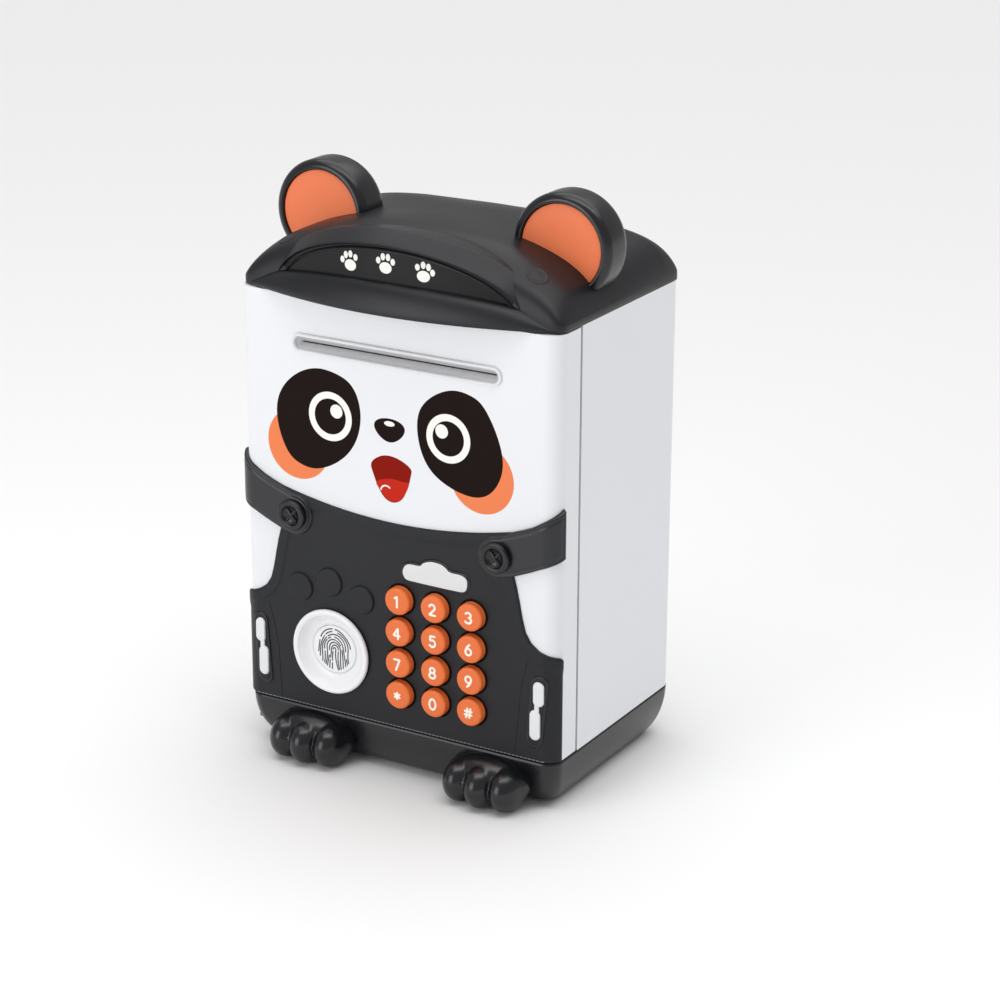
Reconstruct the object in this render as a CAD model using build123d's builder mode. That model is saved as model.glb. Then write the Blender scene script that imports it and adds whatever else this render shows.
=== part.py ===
"""Toy savings bank in the shape of a cash machine with a panda's face.

A white cabinet stands on a black base tub and carries a domed black roof with two round ears.
Its whole front is a hinged door that holds the keypad, the scanner button and the bill feeder.
Frame: +Z up, the door faces -Y, +X is to the right of someone who faces the door, and the
origin is at the bottom centre of the bounding box. Units are millimetres.
"""
from build123d import *
import math
import os

os.makedirs("parts", exist_ok=True)

# Overall size: across the ears, from paws to back, up to the ears' tops
TOTAL_W = 145.0
TOTAL_D = 110.0
TOTAL_H = 230.0

# Body
BODY_W = 138.6
HALF_W = BODY_W / 2
BACK_Y = TOTAL_D / 2
FRONT_Y = -39.8
BODY_MID_Y = (FRONT_Y + BACK_Y) / 2
CORNER_R = 6.4
WALL = 2.2
SEAM_Z = 20.6
ROOF_Z = 186.7

# The vertical joint line between door and cabinet
DOOR_BACK_Y = -24.0
CABINET_FRONT_Y = -22.6
DOOR_GAP = 0.4
DOOR_BOTTOM_Z = SEAM_Z + DOOR_GAP
DOOR_TOP_Z = ROOF_Z - DOOR_GAP
DOOR_INNER_Y = FRONT_Y + WALL

# Base tub: quarter-ellipse lower edges
TUB_SIDE_INSET = 9.5
TUB_FRONT_INSET = 12.8
TUB_STEPS = 8
DECK_T = 2.2
DECK_Z = SEAM_Z - DECK_T

# Batteries: three AA cells side by side
CELL_R = 7.1
CELL_LENGTH = 50.0
CELL_PITCH = 14.8
CELL_Z = 9.6
BATTERY_Y = 20.0
POCKET_X = 26.4
POCKET_Y = 22.6
POCKET_TOP = 17.4
HATCH_LIP = 2.4
HATCH_T = 1.8
HATCH_TAB_Y = -8.6

# Roof dome: an arch across X whose height fades towards front and back
ROOF_WALL = 2.4
ROOF_EDGE = 2.5
ROOF_RISE = 26.1
CREST_FRONT_Y = -18.0
CREST_BACK_Y = 25.0
ROOF_FADE_FRONT = 24.5
ROOF_FADE_BACK = BACK_Y - CREST_BACK_Y
ROOF_FADE_POWER = 2.5
ROOF_STEPS = 7

# Visor and brow at the roof's front
VISOR_REACH_Y = -50.7
VISOR_END_X = 66.0
VISOR_END_Y = -37.5
VISOR_CREST = 11.4
BROW_INSET = 4.5
BROW_HALF_W = 57.5
BROW_CREST_Z = 216.4
SIGN_HALF_W = 53.8
SIGN_CREST_Z = 211.6
SIGN_T = 1.4

# Coin slot in the rear slope of the roof
COIN_SLOT_L = 34.0
COIN_SLOT_W = 5.0
COIN_SLOT_Y = 40.0

# Ears
EAR_R = 20.3
EAR_X = TOTAL_W / 2 - EAR_R
EAR_Z = TOTAL_H - EAR_R
EAR_FRONT_Y = -9.6
EAR_T = 17.2
EAR_EDGE_R = 4.5
INLAY_R = 16.6
INLAY_T = 2.0
INLAY_DEPTH = 0.8

# Paws
PAW_X = {"left": -37.5, "right": 41.5}
PAW_HALF_W = 18.0
PAW_R = 9.7
PAW_Z = PAW_R + 0.1
PAW_Y = -41.0
TOE_R = 6.4
TOE_PITCH = 10.2
TOE_REACH = 7.5

# Apron on the door, straps and what is on them
APRON_T = 1.2
APRON_Y = FRONT_Y - APRON_T
APRON_SIDE_Y = -34.9
STRAP_BUTTON_X = 45.0
STRAP_BUTTON_Z = 99.7
STRAP_BUTTON_R = 6.1
TOE_PADS = [(-42.9, 70.2), (-29.4, 74.6), (-15.0, 70.3)]
CLOUD_X = 18.0
CLOUD_Z = 86.3
POCKET_SLOT_X = {"left": -60.9, "right": 62.2}
POCKET_SLOT_Z = 41.2

# Bill slot
BILL_X = 0.5
BILL_Z = 167.9
BILL_SLOT_L = 87.0
BILL_SLOT_H = 4.9

# Keypad
KEY_NAMES = ["1", "2", "3", "4", "5", "6", "7", "8", "9", "star", "0", "hash"]
KEY_R = 5.45
KEY_X0 = 2.85
KEY_Z0 = 74.3
KEY_PITCH_X = 15.76
KEY_PITCH_Z = 12.77
KEY_FRONT_Y = -44.0
KEY_FLANGE_R = 6.15
KEY_FLANGE_T = 1.0
KEY_FLANGE_Y = DOOR_INNER_Y + 0.2

# Scanner dish and its button
DISH_X = -28.75
DISH_Z = 46.6
DISH_R = 17.1
DISH_BARREL_R = 15.9
DISH_MOUTH_R = 14.8
DISH_FRONT_Y = -42.8
DISH_FLOOR_Y = -39.0
DISH_BACK_Y = -36.2
PAD_R = 9.7

# Electronics
BOARD_FRONT_Y = -33.7
BOARD_T = 1.6
COVER_FRONT_Y = -24.4
COVER_T = 1.5
COVER_BACK_Y = COVER_FRONT_Y + COVER_T
COVER_SCREWS = [(x, z) for x in (-57.0, 57.0) for z in (32.0, 126.0, 176.0)]

# Bill feeder
FEED_Y = -30.9
FEED_Z = 162.4
ROLLER_R = 5.0
ROLLER_W = 8.0
ROLLER_XS = [-32.0, -9.0, 14.0]
BILL_GAP = 0.6
PINCH_Z = FEED_Z + 2 * ROLLER_R + BILL_GAP
SHAFT_R = 1.5
RUNNING_GAP = 0.06
PLATE_X = 47.0
PLATE_T = 2.0
GEAR_MODULE = 0.5
GEAR_TEETH = 22
PINION_TEETH = 12
GEAR_W = 3.0
GEAR_X = PLATE_X + PLATE_T + 0.6
BACKLASH = 0.14
GEAR_CENTRES = GEAR_MODULE * (GEAR_TEETH + PINION_TEETH) / 2 + 0.1
MOTOR_Z = FEED_Z - GEAR_CENTRES

# Hinge and latch
HINGE_X = -65.0
HINGE_Y = -30.5
HINGE_PIN_R = 1.25
LATCH_Z = 104.0
LATCH_Y = -13.0
BOLT_TIP_X = 61.8
BOLT_LENGTH = 18.0
BOLT_W = 5.0
BOLT_H = 4.0
KEEPER_X = 64.4

# Screws that hold base, cabinet and roof together
POST_POINTS = [(x, y) for x in (-56.0, 56.0) for y in (-14.0, 43.0)]
POST_R = 3.5
SCREW_R = 1.4
SCREW_HEAD_R = 2.7


def save(part, name):
    """Label a finished piece and write it to its own STEP file."""
    part.label = name
    export_step(part, f"parts/{name}.step")


def plane_y(y):
    """Plane across the body at depth y, with local axes +X and +Z."""
    return Plane.XZ.offset(-y)


def body_plan(grow=0.0):
    """Rounded rectangle of the body seen from above, grown on every side."""
    with BuildSketch(mode=Mode.PRIVATE) as plan:
        with Locations((0, BODY_MID_Y)):
            RectangleRounded(BODY_W + 2 * grow, BACK_Y - FRONT_Y + 2 * grow, CORNER_R + grow)
    return plan.sketch


def tub_solid(inset):
    """Tub outline with quarter-ellipse lower edges, a wall's inset inside the outer skin."""
    rise = SEAM_Z - inset
    with BuildPart(mode=Mode.PRIVATE) as tub:
        for step in range(TUB_STEPS + 1):
            angle = math.radians(90 * step / TUB_STEPS)
            fade = 1 - math.sin(angle)
            front = FRONT_Y + inset + TUB_FRONT_INSET * fade
            back = BACK_Y - inset - TUB_SIDE_INSET * fade
            width = BODY_W - 2 * inset - 2 * TUB_SIDE_INSET * fade
            with BuildSketch(Plane.XY.offset(SEAM_Z - rise * math.cos(angle))):
                with Locations((0, (front + back) / 2)):
                    RectangleRounded(width, back - front, CORNER_R - inset / 2)
        loft(ruled=True)
    return tub.part


def arch_face(y, half_w, crest_z, foot_z=ROOF_Z, edge=0.0):
    """Half-ellipse arch on a level foot, drawn across the body at depth y."""
    with BuildSketch(plane_y(y), mode=Mode.PRIVATE) as arch:
        with BuildLine():
            Line((-half_w, foot_z), (half_w, foot_z))
            if edge:
                Line((half_w, foot_z), (half_w, foot_z + edge))
                Line((-half_w, foot_z + edge), (-half_w, foot_z))
            rise = crest_z - foot_z - edge
            EllipticalCenterArc((0, foot_z + edge), half_w, rise, start_angle=0, arc_size=180)
        make_face()
    return arch.sketch


def visor_plan(inset, z=ROOF_Z):
    """Roof seen from above: straight sides, round rear corners and a bowed front edge."""
    end = (VISOR_END_X, VISOR_END_Y + inset)
    with BuildSketch(Plane.XY.offset(z), mode=Mode.PRIVATE) as plan:
        with BuildLine():
            ThreePointArc((-end[0], end[1]), (0, VISOR_REACH_Y + inset), end)
            side = Line(end, (HALF_W, end[1] + 3.6))
            Line(side @ 1, (HALF_W, BACK_Y))
            Line((HALF_W, BACK_Y), (-HALF_W, BACK_Y))
            Line((-HALF_W, BACK_Y), (-HALF_W, end[1] + 3.6))
            Line((-HALF_W, end[1] + 3.6), (-end[0], end[1]))
        make_face()
        fillet(plan.vertices().group_by(Axis.Y)[-1], CORNER_R)
    return plan.sketch


def dome_solid(inset):
    """Dome of the roof, a wall's inset inside the outer skin."""
    half_w = HALF_W - inset
    rise = ROOF_RISE - inset

    def crest(fade):
        return ROOF_Z + ROOF_EDGE + max(rise * fade, 0.5)

    stations = []
    for step in range(-ROOF_STEPS, ROOF_STEPS + 1):
        angle = math.radians(90 * abs(step) / ROOF_STEPS)
        if step <= 0:
            y = CREST_FRONT_Y - (ROOF_FADE_FRONT - inset) * math.sin(angle)
            stations.append((y, crest(math.cos(angle))))
        if step >= 0:
            reach = math.sin(angle)
            y = CREST_BACK_Y + (ROOF_FADE_BACK - inset) * reach
            stations.append((y, crest((1 - reach ** ROOF_FADE_POWER) ** (1 / ROOF_FADE_POWER))))
    with BuildPart(mode=Mode.PRIVATE) as dome:
        loft([arch_face(y, half_w, top, edge=ROOF_EDGE).face() for y, top in stations])
    return dome.part


def plan_block(sketch, height):
    """Solid that stands on a plan outline."""
    with BuildPart(mode=Mode.PRIVATE) as block:
        add(sketch)
        extrude(amount=height)
    return block.part


def roof_solid():
    """Outside of the roof without its hollow: dome, brow arch and visor."""
    with BuildPart(mode=Mode.PRIVATE) as roof:
        add(dome_solid(0))
        add(plan_block(visor_plan(0), 60), mode=Mode.INTERSECT)
        add(brow_solid())
        add(visor_solid())
    return roof.part


def brow_solid():
    """Arched brow over the sign: it swells behind its front edge and sinks into the dome."""
    with BuildPart(mode=Mode.PRIVATE) as brow:
        front = arch_face(VISOR_REACH_Y + BROW_INSET, BROW_HALF_W - 2.4, SIGN_CREST_Z + 1.2)
        ridge = arch_face(VISOR_REACH_Y + BROW_INSET + 8, BROW_HALF_W, BROW_CREST_Z)
        back = arch_face(-12, BROW_HALF_W - 2, BROW_CREST_Z - 2.4)
        loft([front.face(), ridge.face()])
        loft([ridge.face(), back.face()])
        add(plan_block(visor_plan(BROW_INSET), 60), mode=Mode.INTERSECT)
    return brow.part


def visor_solid():
    """Bill of the cap: bowed in plan, its top slopes back and up to the sign."""
    with BuildPart(mode=Mode.PRIVATE) as visor:
        lip = visor_plan(0)
        lip_top = visor_plan(0.3, ROOF_Z + 2.4)
        root = visor_plan(BROW_INSET, ROOF_Z + VISOR_CREST)
        loft([lip.face(), lip_top.face()], ruled=True)
        loft([lip_top.face(), root.face()], ruled=True)
        add(arch_prism(HALF_W, ROOF_Z + VISOR_CREST, -20), mode=Mode.INTERSECT)
    return visor.part


def arch_prism(half_w, crest_z, back_y):
    """Arch extruded forward from back_y past the front of the roof."""
    with BuildPart(mode=Mode.PRIVATE) as prism:
        add(arch_face(back_y, half_w, crest_z))
        extrude(amount=back_y - VISOR_REACH_Y + 5, dir=(0, -1, 0))
    return prism.part


def apron_outline():
    """Front view of the apron: bib, waist and two straps that rise to the door's edges."""
    edge = HALF_W + 3
    with BuildSketch(plane_y(FRONT_Y + 10), mode=Mode.PRIVATE) as outline:
        with BuildLine():
            Line((-edge, DOOR_BOTTOM_Z), (edge, DOOR_BOTTOM_Z))
            Line((edge, DOOR_BOTTOM_Z), (edge, 62.6))
            Line((edge, 62.6), (69.6, 63.0))
            Spline((69.6, 63.0), (61.0, 66.2), (56.8, 71.8), (54.2, 82.0), (51.6, 92.8))
            Spline((51.6, 92.8), (58.0, 95.4), (64.0, 98.4), (69.6, 101.6))
            Line((69.6, 101.6), (edge, 101.6))
            Line((edge, 101.6), (edge, 121.0))
            Line((edge, 121.0), (69.6, 121.0))
            Spline((69.6, 121.0), (65.5, 117.2), (59.0, 113.4), (32.0, 106.4), (0, 103.9),
                   (-32.0, 106.4), (-59.0, 113.4), (-65.5, 117.2), (-69.6, 121.0))
            Line((-69.6, 121.0), (-edge, 121.0))
            Line((-edge, 121.0), (-edge, 101.6))
            Line((-edge, 101.6), (-69.6, 101.6))
            Spline((-69.6, 101.6), (-64.0, 98.4), (-58.0, 95.4), (-51.6, 92.8))
            Spline((-51.6, 92.8), (-54.2, 82.0), (-56.8, 71.8), (-61.0, 66.2), (-69.6, 63.0))
            Line((-69.6, 63.0), (-edge, 62.6))
            Line((-edge, 62.6), (-edge, DOOR_BOTTOM_Z))
        make_face()
    return outline.sketch


def door_skin(inner, outer):
    """Skin round the door's front and corners, between two distances off the body's plan."""
    with BuildPart(mode=Mode.PRIVATE) as skin:
        add(plan_block(body_plan(outer), DOOR_TOP_Z))
        if inner is not None:
            add(plan_block(body_plan(inner), DOOR_TOP_Z), mode=Mode.SUBTRACT)
        with Locations((0, APRON_SIDE_Y, 0)):
            Box(300, 300, 600, align=(Align.CENTER, Align.MIN, Align.CENTER), mode=Mode.SUBTRACT)
    return skin.part


def cloud_face(y, grow=0.0):
    """Cloud-shaped window outline: a low bar with a dome and two side lobes."""
    with BuildSketch(plane_y(y), mode=Mode.PRIVATE) as cloud:
        with Locations((CLOUD_X, CLOUD_Z - 0.6)):
            SlotOverall(28.8 + 2 * grow, 6.2 + 2 * grow)
        with Locations((CLOUD_X, CLOUD_Z + 0.6)):
            Ellipse(7.6 + grow, 5.4 + grow)
    return cloud.sketch


def gear_points(teeth, turn):
    """Closed outline of an involute gear, from root to tip and down again, for every tooth."""
    pitch_r = GEAR_MODULE * teeth / 2
    base_r = pitch_r * math.cos(math.radians(20))
    root_r = pitch_r - 1.25 * GEAR_MODULE
    tip_r = pitch_r + GEAR_MODULE

    def half_angle(radius):
        lean = math.acos(min(1.0, base_r / radius))
        pitch_lean = math.radians(20)
        at_pitch = (math.pi * GEAR_MODULE / 2 - BACKLASH) / 2 / pitch_r
        return at_pitch + (math.tan(pitch_lean) - pitch_lean) - (math.tan(lean) - lean)

    radii = [root_r, max(base_r, root_r + 0.05), pitch_r, tip_r]
    points = []
    for tooth in range(teeth):
        middle = turn + 2 * math.pi * tooth / teeth
        for radius in radii:
            points.append((radius, middle - half_angle(max(radius, base_r))))
        for radius in reversed(radii):
            points.append((radius, middle + half_angle(max(radius, base_r))))
    return [(r * math.cos(a), r * math.sin(a)) for r, a in points]


def roller_set(z):
    """Three rubber tyres on one shaft line across the feeder."""
    with BuildPart(mode=Mode.PRIVATE) as rollers:
        with BuildSketch(Plane.YZ.offset(0)) as ring:
            with Locations((FEED_Y, z)):
                Circle(ROLLER_R)
                Circle(SHAFT_R, mode=Mode.SUBTRACT)
        for x in ROLLER_XS:
            extrude(ring.sketch.moved(Location((x, 0, 0))), amount=ROLLER_W / 2, both=True)
    return rollers.part


# --- Base ----------------------------------------------------------------------------------

with BuildPart() as base_tub:
    add(tub_solid(0))
    add(tub_solid(WALL), mode=Mode.SUBTRACT)
    with Locations((0, BATTERY_Y, WALL)):
        Box(2 * POCKET_X + 3.2, 2 * POCKET_Y + 3.2, DECK_Z - WALL, align=(Align.CENTER, Align.CENTER, Align.MIN))
    with Locations((0, HATCH_TAB_Y, WALL)):
        Cylinder(3.4, 9, align=(Align.CENTER, Align.CENTER, Align.MIN))
    for x, y in POST_POINTS:
        with Locations((x, y, 1.0)):
            Cylinder(POST_R, DECK_Z - 1.0, align=(Align.CENTER, Align.CENTER, Align.MIN))
    with Locations((HINGE_X - 0.4, HINGE_Y, 8)):
        Box(5.6, 7, SEAM_Z - 8, align=(Align.CENTER, Align.CENTER, Align.MIN))
    with Locations((0, BATTERY_Y, 0)):
        Box(2 * POCKET_X, 2 * POCKET_Y, POCKET_TOP,
            align=(Align.CENTER, Align.CENTER, Align.MIN), mode=Mode.SUBTRACT)
        Box(2 * POCKET_X + HATCH_LIP, 2 * POCKET_Y + HATCH_LIP, HATCH_T,
            align=(Align.CENTER, Align.CENTER, Align.MIN), mode=Mode.SUBTRACT)
    with Locations((0, HATCH_TAB_Y + 2, 0)):
        Box(10.4, 12, HATCH_T, align=(Align.CENTER, Align.CENTER, Align.MIN), mode=Mode.SUBTRACT)
    with Locations((0, HATCH_TAB_Y, 0)):
        Cylinder(SCREW_R, 9, align=(Align.CENTER, Align.CENTER, Align.MIN), mode=Mode.SUBTRACT)
    for x, y in POST_POINTS:
        with Locations((x, y, 0)):
            Cylinder(SCREW_R, SEAM_Z, align=(Align.CENTER, Align.CENTER, Align.MIN), mode=Mode.SUBTRACT)
            Cylinder(SCREW_HEAD_R + 0.4, 4, align=(Align.CENTER, Align.CENTER, Align.MIN), mode=Mode.SUBTRACT)
    with Locations((HINGE_X, HINGE_Y, 12)):
        Cylinder(HINGE_PIN_R, 20, align=(Align.CENTER, Align.CENTER, Align.MIN), mode=Mode.SUBTRACT)
    with Locations((44, 12, 0)):
        with PolarLocations(6, 6):
            Cylinder(0.9, 6, mode=Mode.SUBTRACT)
        Cylinder(0.9, 6, mode=Mode.SUBTRACT)
save(base_tub.part, "base_tub")

with BuildPart() as deck:
    with BuildSketch(Plane.XY.offset(DECK_Z)):
        with Locations((0, BODY_MID_Y)):
            RectangleRounded(BODY_W - 2 * WALL - 1.6, BACK_Y - FRONT_Y - 2 * WALL - 1.6, CORNER_R)
        with Locations((HINGE_X - 0.4, HINGE_Y)):
            Rectangle(6.2, 7.6, mode=Mode.SUBTRACT)
        with Locations(POST_POINTS):
            Circle(SCREW_R, mode=Mode.SUBTRACT)
    extrude(amount=DECK_T)
save(deck.part, "inner_floor")

with BuildPart() as hatch:
    with Locations((0, BATTERY_Y, 0)):
        Box(2 * POCKET_X + HATCH_LIP - 0.4, 2 * POCKET_Y + HATCH_LIP - 0.4, HATCH_T,
            align=(Align.CENTER, Align.CENTER, Align.MIN))
    with Locations((0, HATCH_TAB_Y + 2, 0)):
        Box(10, 11.6, HATCH_T, align=(Align.CENTER, Align.CENTER, Align.MIN))
    with Locations((0, HATCH_TAB_Y, 0)):
        Cylinder(SCREW_R + 0.2, HATCH_T, align=(Align.CENTER, Align.CENTER, Align.MIN), mode=Mode.SUBTRACT)
        Cylinder(SCREW_HEAD_R + 0.2, 1.0, align=(Align.CENTER, Align.CENTER, Align.MIN), mode=Mode.SUBTRACT)
save(hatch.part, "battery_cover")

with BuildPart() as cells:
    for row in (-1, 0, 1):
        with Locations(Location((0, BATTERY_Y + row * CELL_PITCH, CELL_Z), (0, 90, 0))):
            Cylinder(CELL_R, CELL_LENGTH)
save(cells.part, "battery_cells")

with BuildPart() as contacts:
    for row in (-1, 0, 1):
        for side in (-1, 1):
            with Locations((side * (CELL_LENGTH / 2 + POCKET_X) / 2, BATTERY_Y + row * CELL_PITCH, CELL_Z)):
                Box(POCKET_X - CELL_LENGTH / 2, 9, 9)
save(contacts.part, "battery_contacts")

with BuildPart() as speaker:
    with Locations((44, 12, WALL)):
        Cylinder(13.5, 2.5, align=(Align.CENTER, Align.CENTER, Align.MIN))
        Cylinder(7.5, 8, align=(Align.CENTER, Align.CENTER, Align.MIN))
save(speaker.part, "speaker")

with BuildPart() as base_screws:
    for x, y in POST_POINTS:
        with Locations((x, y, 2)):
            Cylinder(SCREW_HEAD_R, 2, align=(Align.CENTER, Align.CENTER, Align.MIN))
            Cylinder(SCREW_R, 27, align=(Align.CENTER, Align.CENTER, Align.MIN))
    with Locations((0, HATCH_TAB_Y, 0)):
        Cylinder(SCREW_HEAD_R, 1.0, align=(Align.CENTER, Align.CENTER, Align.MIN))
        Cylinder(SCREW_R, 8, align=(Align.CENTER, Align.CENTER, Align.MIN))
save(base_screws.part, "base_screws")

for side, paw_x in PAW_X.items():
    with BuildPart() as paw:
        with Locations((paw_x, PAW_Y, PAW_Z)):
            Cylinder(PAW_R, 2 * (PAW_HALF_W - PAW_R), rotation=(0, 90, 0))
        with Locations([(paw_x + end * (PAW_HALF_W - PAW_R), PAW_Y, PAW_Z) for end in (-1, 1)]):
            Sphere(PAW_R)
        add(tub_solid(0), mode=Mode.SUBTRACT)
        for toe in (-1, 0, 1):
            toe_x = paw_x + toe * TOE_PITCH
            toe_y = -TOTAL_D / 2 + TOE_R + (0 if toe == 0 else 1.5)
            with Locations((toe_x, toe_y, TOE_R)):
                Sphere(TOE_R)
                Cylinder(TOE_R, TOE_REACH, rotation=(-90, 0, 0), align=(Align.CENTER, Align.CENTER, Align.MIN))
    save(paw.part, f"{side}_paw")

# --- Cabinet -------------------------------------------------------------------------------

with BuildPart() as cabinet_shell:
    add(plan_block(body_plan().moved(Location((0, 0, SEAM_Z))), ROOF_Z - SEAM_Z))
    add(plan_block(body_plan(-WALL).moved(Location((0, 0, SEAM_Z))), ROOF_Z - SEAM_Z), mode=Mode.SUBTRACT)
    with Locations((0, CABINET_FRONT_Y, 0)):
        Box(300, 100, 600, align=(Align.CENTER, Align.MAX, Align.CENTER), mode=Mode.SUBTRACT)
    lip_height = DOOR_TOP_Z - DOOR_BOTTOM_Z - 9.4
    with Locations((66.1, CABINET_FRONT_Y, DOOR_BOTTOM_Z + 6)):
        Box(2.2, 4.6, lip_height, align=(Align.CENTER, Align.MIN, Align.MIN))
    with Locations((65.6, CABINET_FRONT_Y, DOOR_BOTTOM_Z + 6)):
        Box(1.6, 8.6, lip_height, align=(Align.CENTER, Align.CENTER, Align.MIN))
    for x, y in POST_POINTS:
        outward = math.copysign(1, x)
        with Locations((x, y, SEAM_Z)):
            Cylinder(POST_R, 12, align=(Align.CENTER, Align.CENTER, Align.MIN))
        with Locations(((x + outward * (HALF_W - 1)) / 2, y, SEAM_Z)):
            Box(abs(HALF_W - 1 - abs(x)), 2.4, 12, align=(Align.CENTER, Align.CENTER, Align.MIN))
        with Locations((outward * (HALF_W - WALL / 2 - 9), y, ROOF_Z)):
            Box(18, 10, WALL, align=(Align.CENTER, Align.CENTER, Align.MAX))
        with Locations((x, y, SEAM_Z)):
            Cylinder(SCREW_R, 9, align=(Align.CENTER, Align.CENTER, Align.MIN), mode=Mode.SUBTRACT)
        with Locations((x, y, ROOF_Z)):
            Cylinder(SCREW_R, 2 * WALL, mode=Mode.SUBTRACT)
save(cabinet_shell.part, "cabinet_shell")

with BuildPart() as keeper:
    with Locations((KEEPER_X, LATCH_Y, LATCH_Z)):
        Box(HALF_W - WALL - KEEPER_X, 9, 12, align=(Align.MIN, Align.CENTER, Align.CENTER))
        Box(10, BOLT_W + 1, 20, mode=Mode.SUBTRACT)
save(keeper.part, "latch_keeper")

# --- Roof ----------------------------------------------------------------------------------

roof_outer = roof_solid()
sign_prism = arch_prism(SIGN_HALF_W, SIGN_CREST_Z, -30)
plug_points = [(side * 53.6, -28.0) for side in (-1, 1)]
plug_r = 4.2

with BuildPart() as roof_shell:
    add(roof_outer)
    with BuildPart(mode=Mode.PRIVATE) as hollow:
        add(dome_solid(ROOF_WALL))
        with Locations((0, CABINET_FRONT_Y, ROOF_Z)):
            Box(300, 100, 2 * ROOF_WALL, align=(Align.CENTER, Align.MAX, Align.CENTER), mode=Mode.SUBTRACT)
        with Locations((0, BACK_Y - ROOF_WALL, 0)):
            Box(300, 100, 900, align=(Align.CENTER, Align.MIN, Align.CENTER), mode=Mode.SUBTRACT)
    add(hollow.part, mode=Mode.SUBTRACT)
    with BuildPart(mode=Mode.PRIVATE) as recess:
        add(sign_prism)
        add(plan_block(visor_plan(BROW_INSET + SIGN_T), 60), mode=Mode.SUBTRACT)
        add(visor_solid(), mode=Mode.SUBTRACT)
    add(recess.part, mode=Mode.SUBTRACT)
    with BuildPart(mode=Mode.PRIVATE) as bosses:
        for x, y in POST_POINTS:
            with Locations((x, y, ROOF_Z)):
                Cylinder(POST_R, 24, align=(Align.CENTER, Align.CENTER, Align.MIN))
        with Locations((HINGE_X + 0.6, HINGE_Y, ROOF_Z)):
            Cylinder(3, 6, align=(Align.CENTER, Align.CENTER, Align.MIN))
        add(roof_outer, mode=Mode.INTERSECT)
    add(bosses.part)
    for x, y in POST_POINTS:
        with Locations((x, y, ROOF_Z)):
            Cylinder(SCREW_R, 6, align=(Align.CENTER, Align.CENTER, Align.MIN), mode=Mode.SUBTRACT)
    with Locations((HINGE_X, HINGE_Y, ROOF_Z)):
        Cylinder(HINGE_PIN_R, 4, align=(Align.CENTER, Align.CENTER, Align.MIN), mode=Mode.SUBTRACT)
    with Locations([(x, y, ROOF_Z + 8) for x, y in plug_points]):
        Cylinder(plug_r, 60, align=(Align.CENTER, Align.CENTER, Align.MIN), mode=Mode.SUBTRACT)
    with BuildSketch(Plane.XY.offset(ROOF_Z)):
        with Locations((0, COIN_SLOT_Y)):
            SlotOverall(COIN_SLOT_L, COIN_SLOT_W)
    extrude(amount=60, mode=Mode.SUBTRACT)
save(roof_shell.part, "roof_shell")

with BuildPart() as plugs:
    with Locations([(x, y, ROOF_Z + 8) for x, y in plug_points]):
        Cylinder(plug_r - 0.15, 60, align=(Align.CENTER, Align.CENTER, Align.MIN))
    add(roof_outer, mode=Mode.INTERSECT)
save(plugs.part, "roof_plugs")

with BuildPart() as sign_panel:
    add(plan_block(visor_plan(BROW_INSET + 0.3), 40))
    add(plan_block(visor_plan(BROW_INSET + SIGN_T), 50), mode=Mode.SUBTRACT)
    add(sign_prism, mode=Mode.INTERSECT)
    add(visor_solid(), mode=Mode.SUBTRACT)
save(sign_panel.part, "sign_panel")

with BuildPart() as roof_screws:
    for x, y in POST_POINTS:
        with Locations((x, y, ROOF_Z - WALL)):
            Cylinder(SCREW_HEAD_R, 1.6, align=(Align.CENTER, Align.CENTER, Align.MAX))
            Cylinder(SCREW_R, 7.5, align=(Align.CENTER, Align.CENTER, Align.MIN))
save(roof_screws.part, "roof_screws")

for side, ear_x in (("left", -EAR_X), ("right", EAR_X)):
    with BuildPart() as ear_shell:
        with BuildSketch(plane_y(EAR_FRONT_Y + EAR_T)):
            with Locations((ear_x, EAR_Z)):
                Circle(EAR_R)
        extrude(amount=EAR_T)
        fillet(ear_shell.edges().filter_by(GeomType.CIRCLE), EAR_EDGE_R * 0.78)
        with BuildSketch(plane_y(EAR_FRONT_Y + EAR_T - 2.4)):
            with Locations((ear_x, EAR_Z)):
                Circle(INLAY_R)
        extrude(amount=EAR_T, mode=Mode.SUBTRACT)
        add(roof_outer, mode=Mode.SUBTRACT)
    save(ear_shell.part, f"{side}_ear_shell")

    with BuildPart() as ear_inlay:
        with BuildSketch(plane_y(EAR_FRONT_Y + INLAY_DEPTH + INLAY_T)):
            with Locations((ear_x, EAR_Z)):
                Circle(INLAY_R)
        extrude(amount=INLAY_T)
        add(roof_outer, mode=Mode.SUBTRACT)
    save(ear_inlay.part, f"{side}_ear_inlay")

# --- Door ----------------------------------------------------------------------------------

key_places = [(KEY_X0 + KEY_PITCH_X * (index % 3), KEY_Z0 - KEY_PITCH_Z * (index // 3)) for index in range(12)]
door_span = DOOR_TOP_Z - DOOR_BOTTOM_Z
knuckle_h = 7.0

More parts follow.
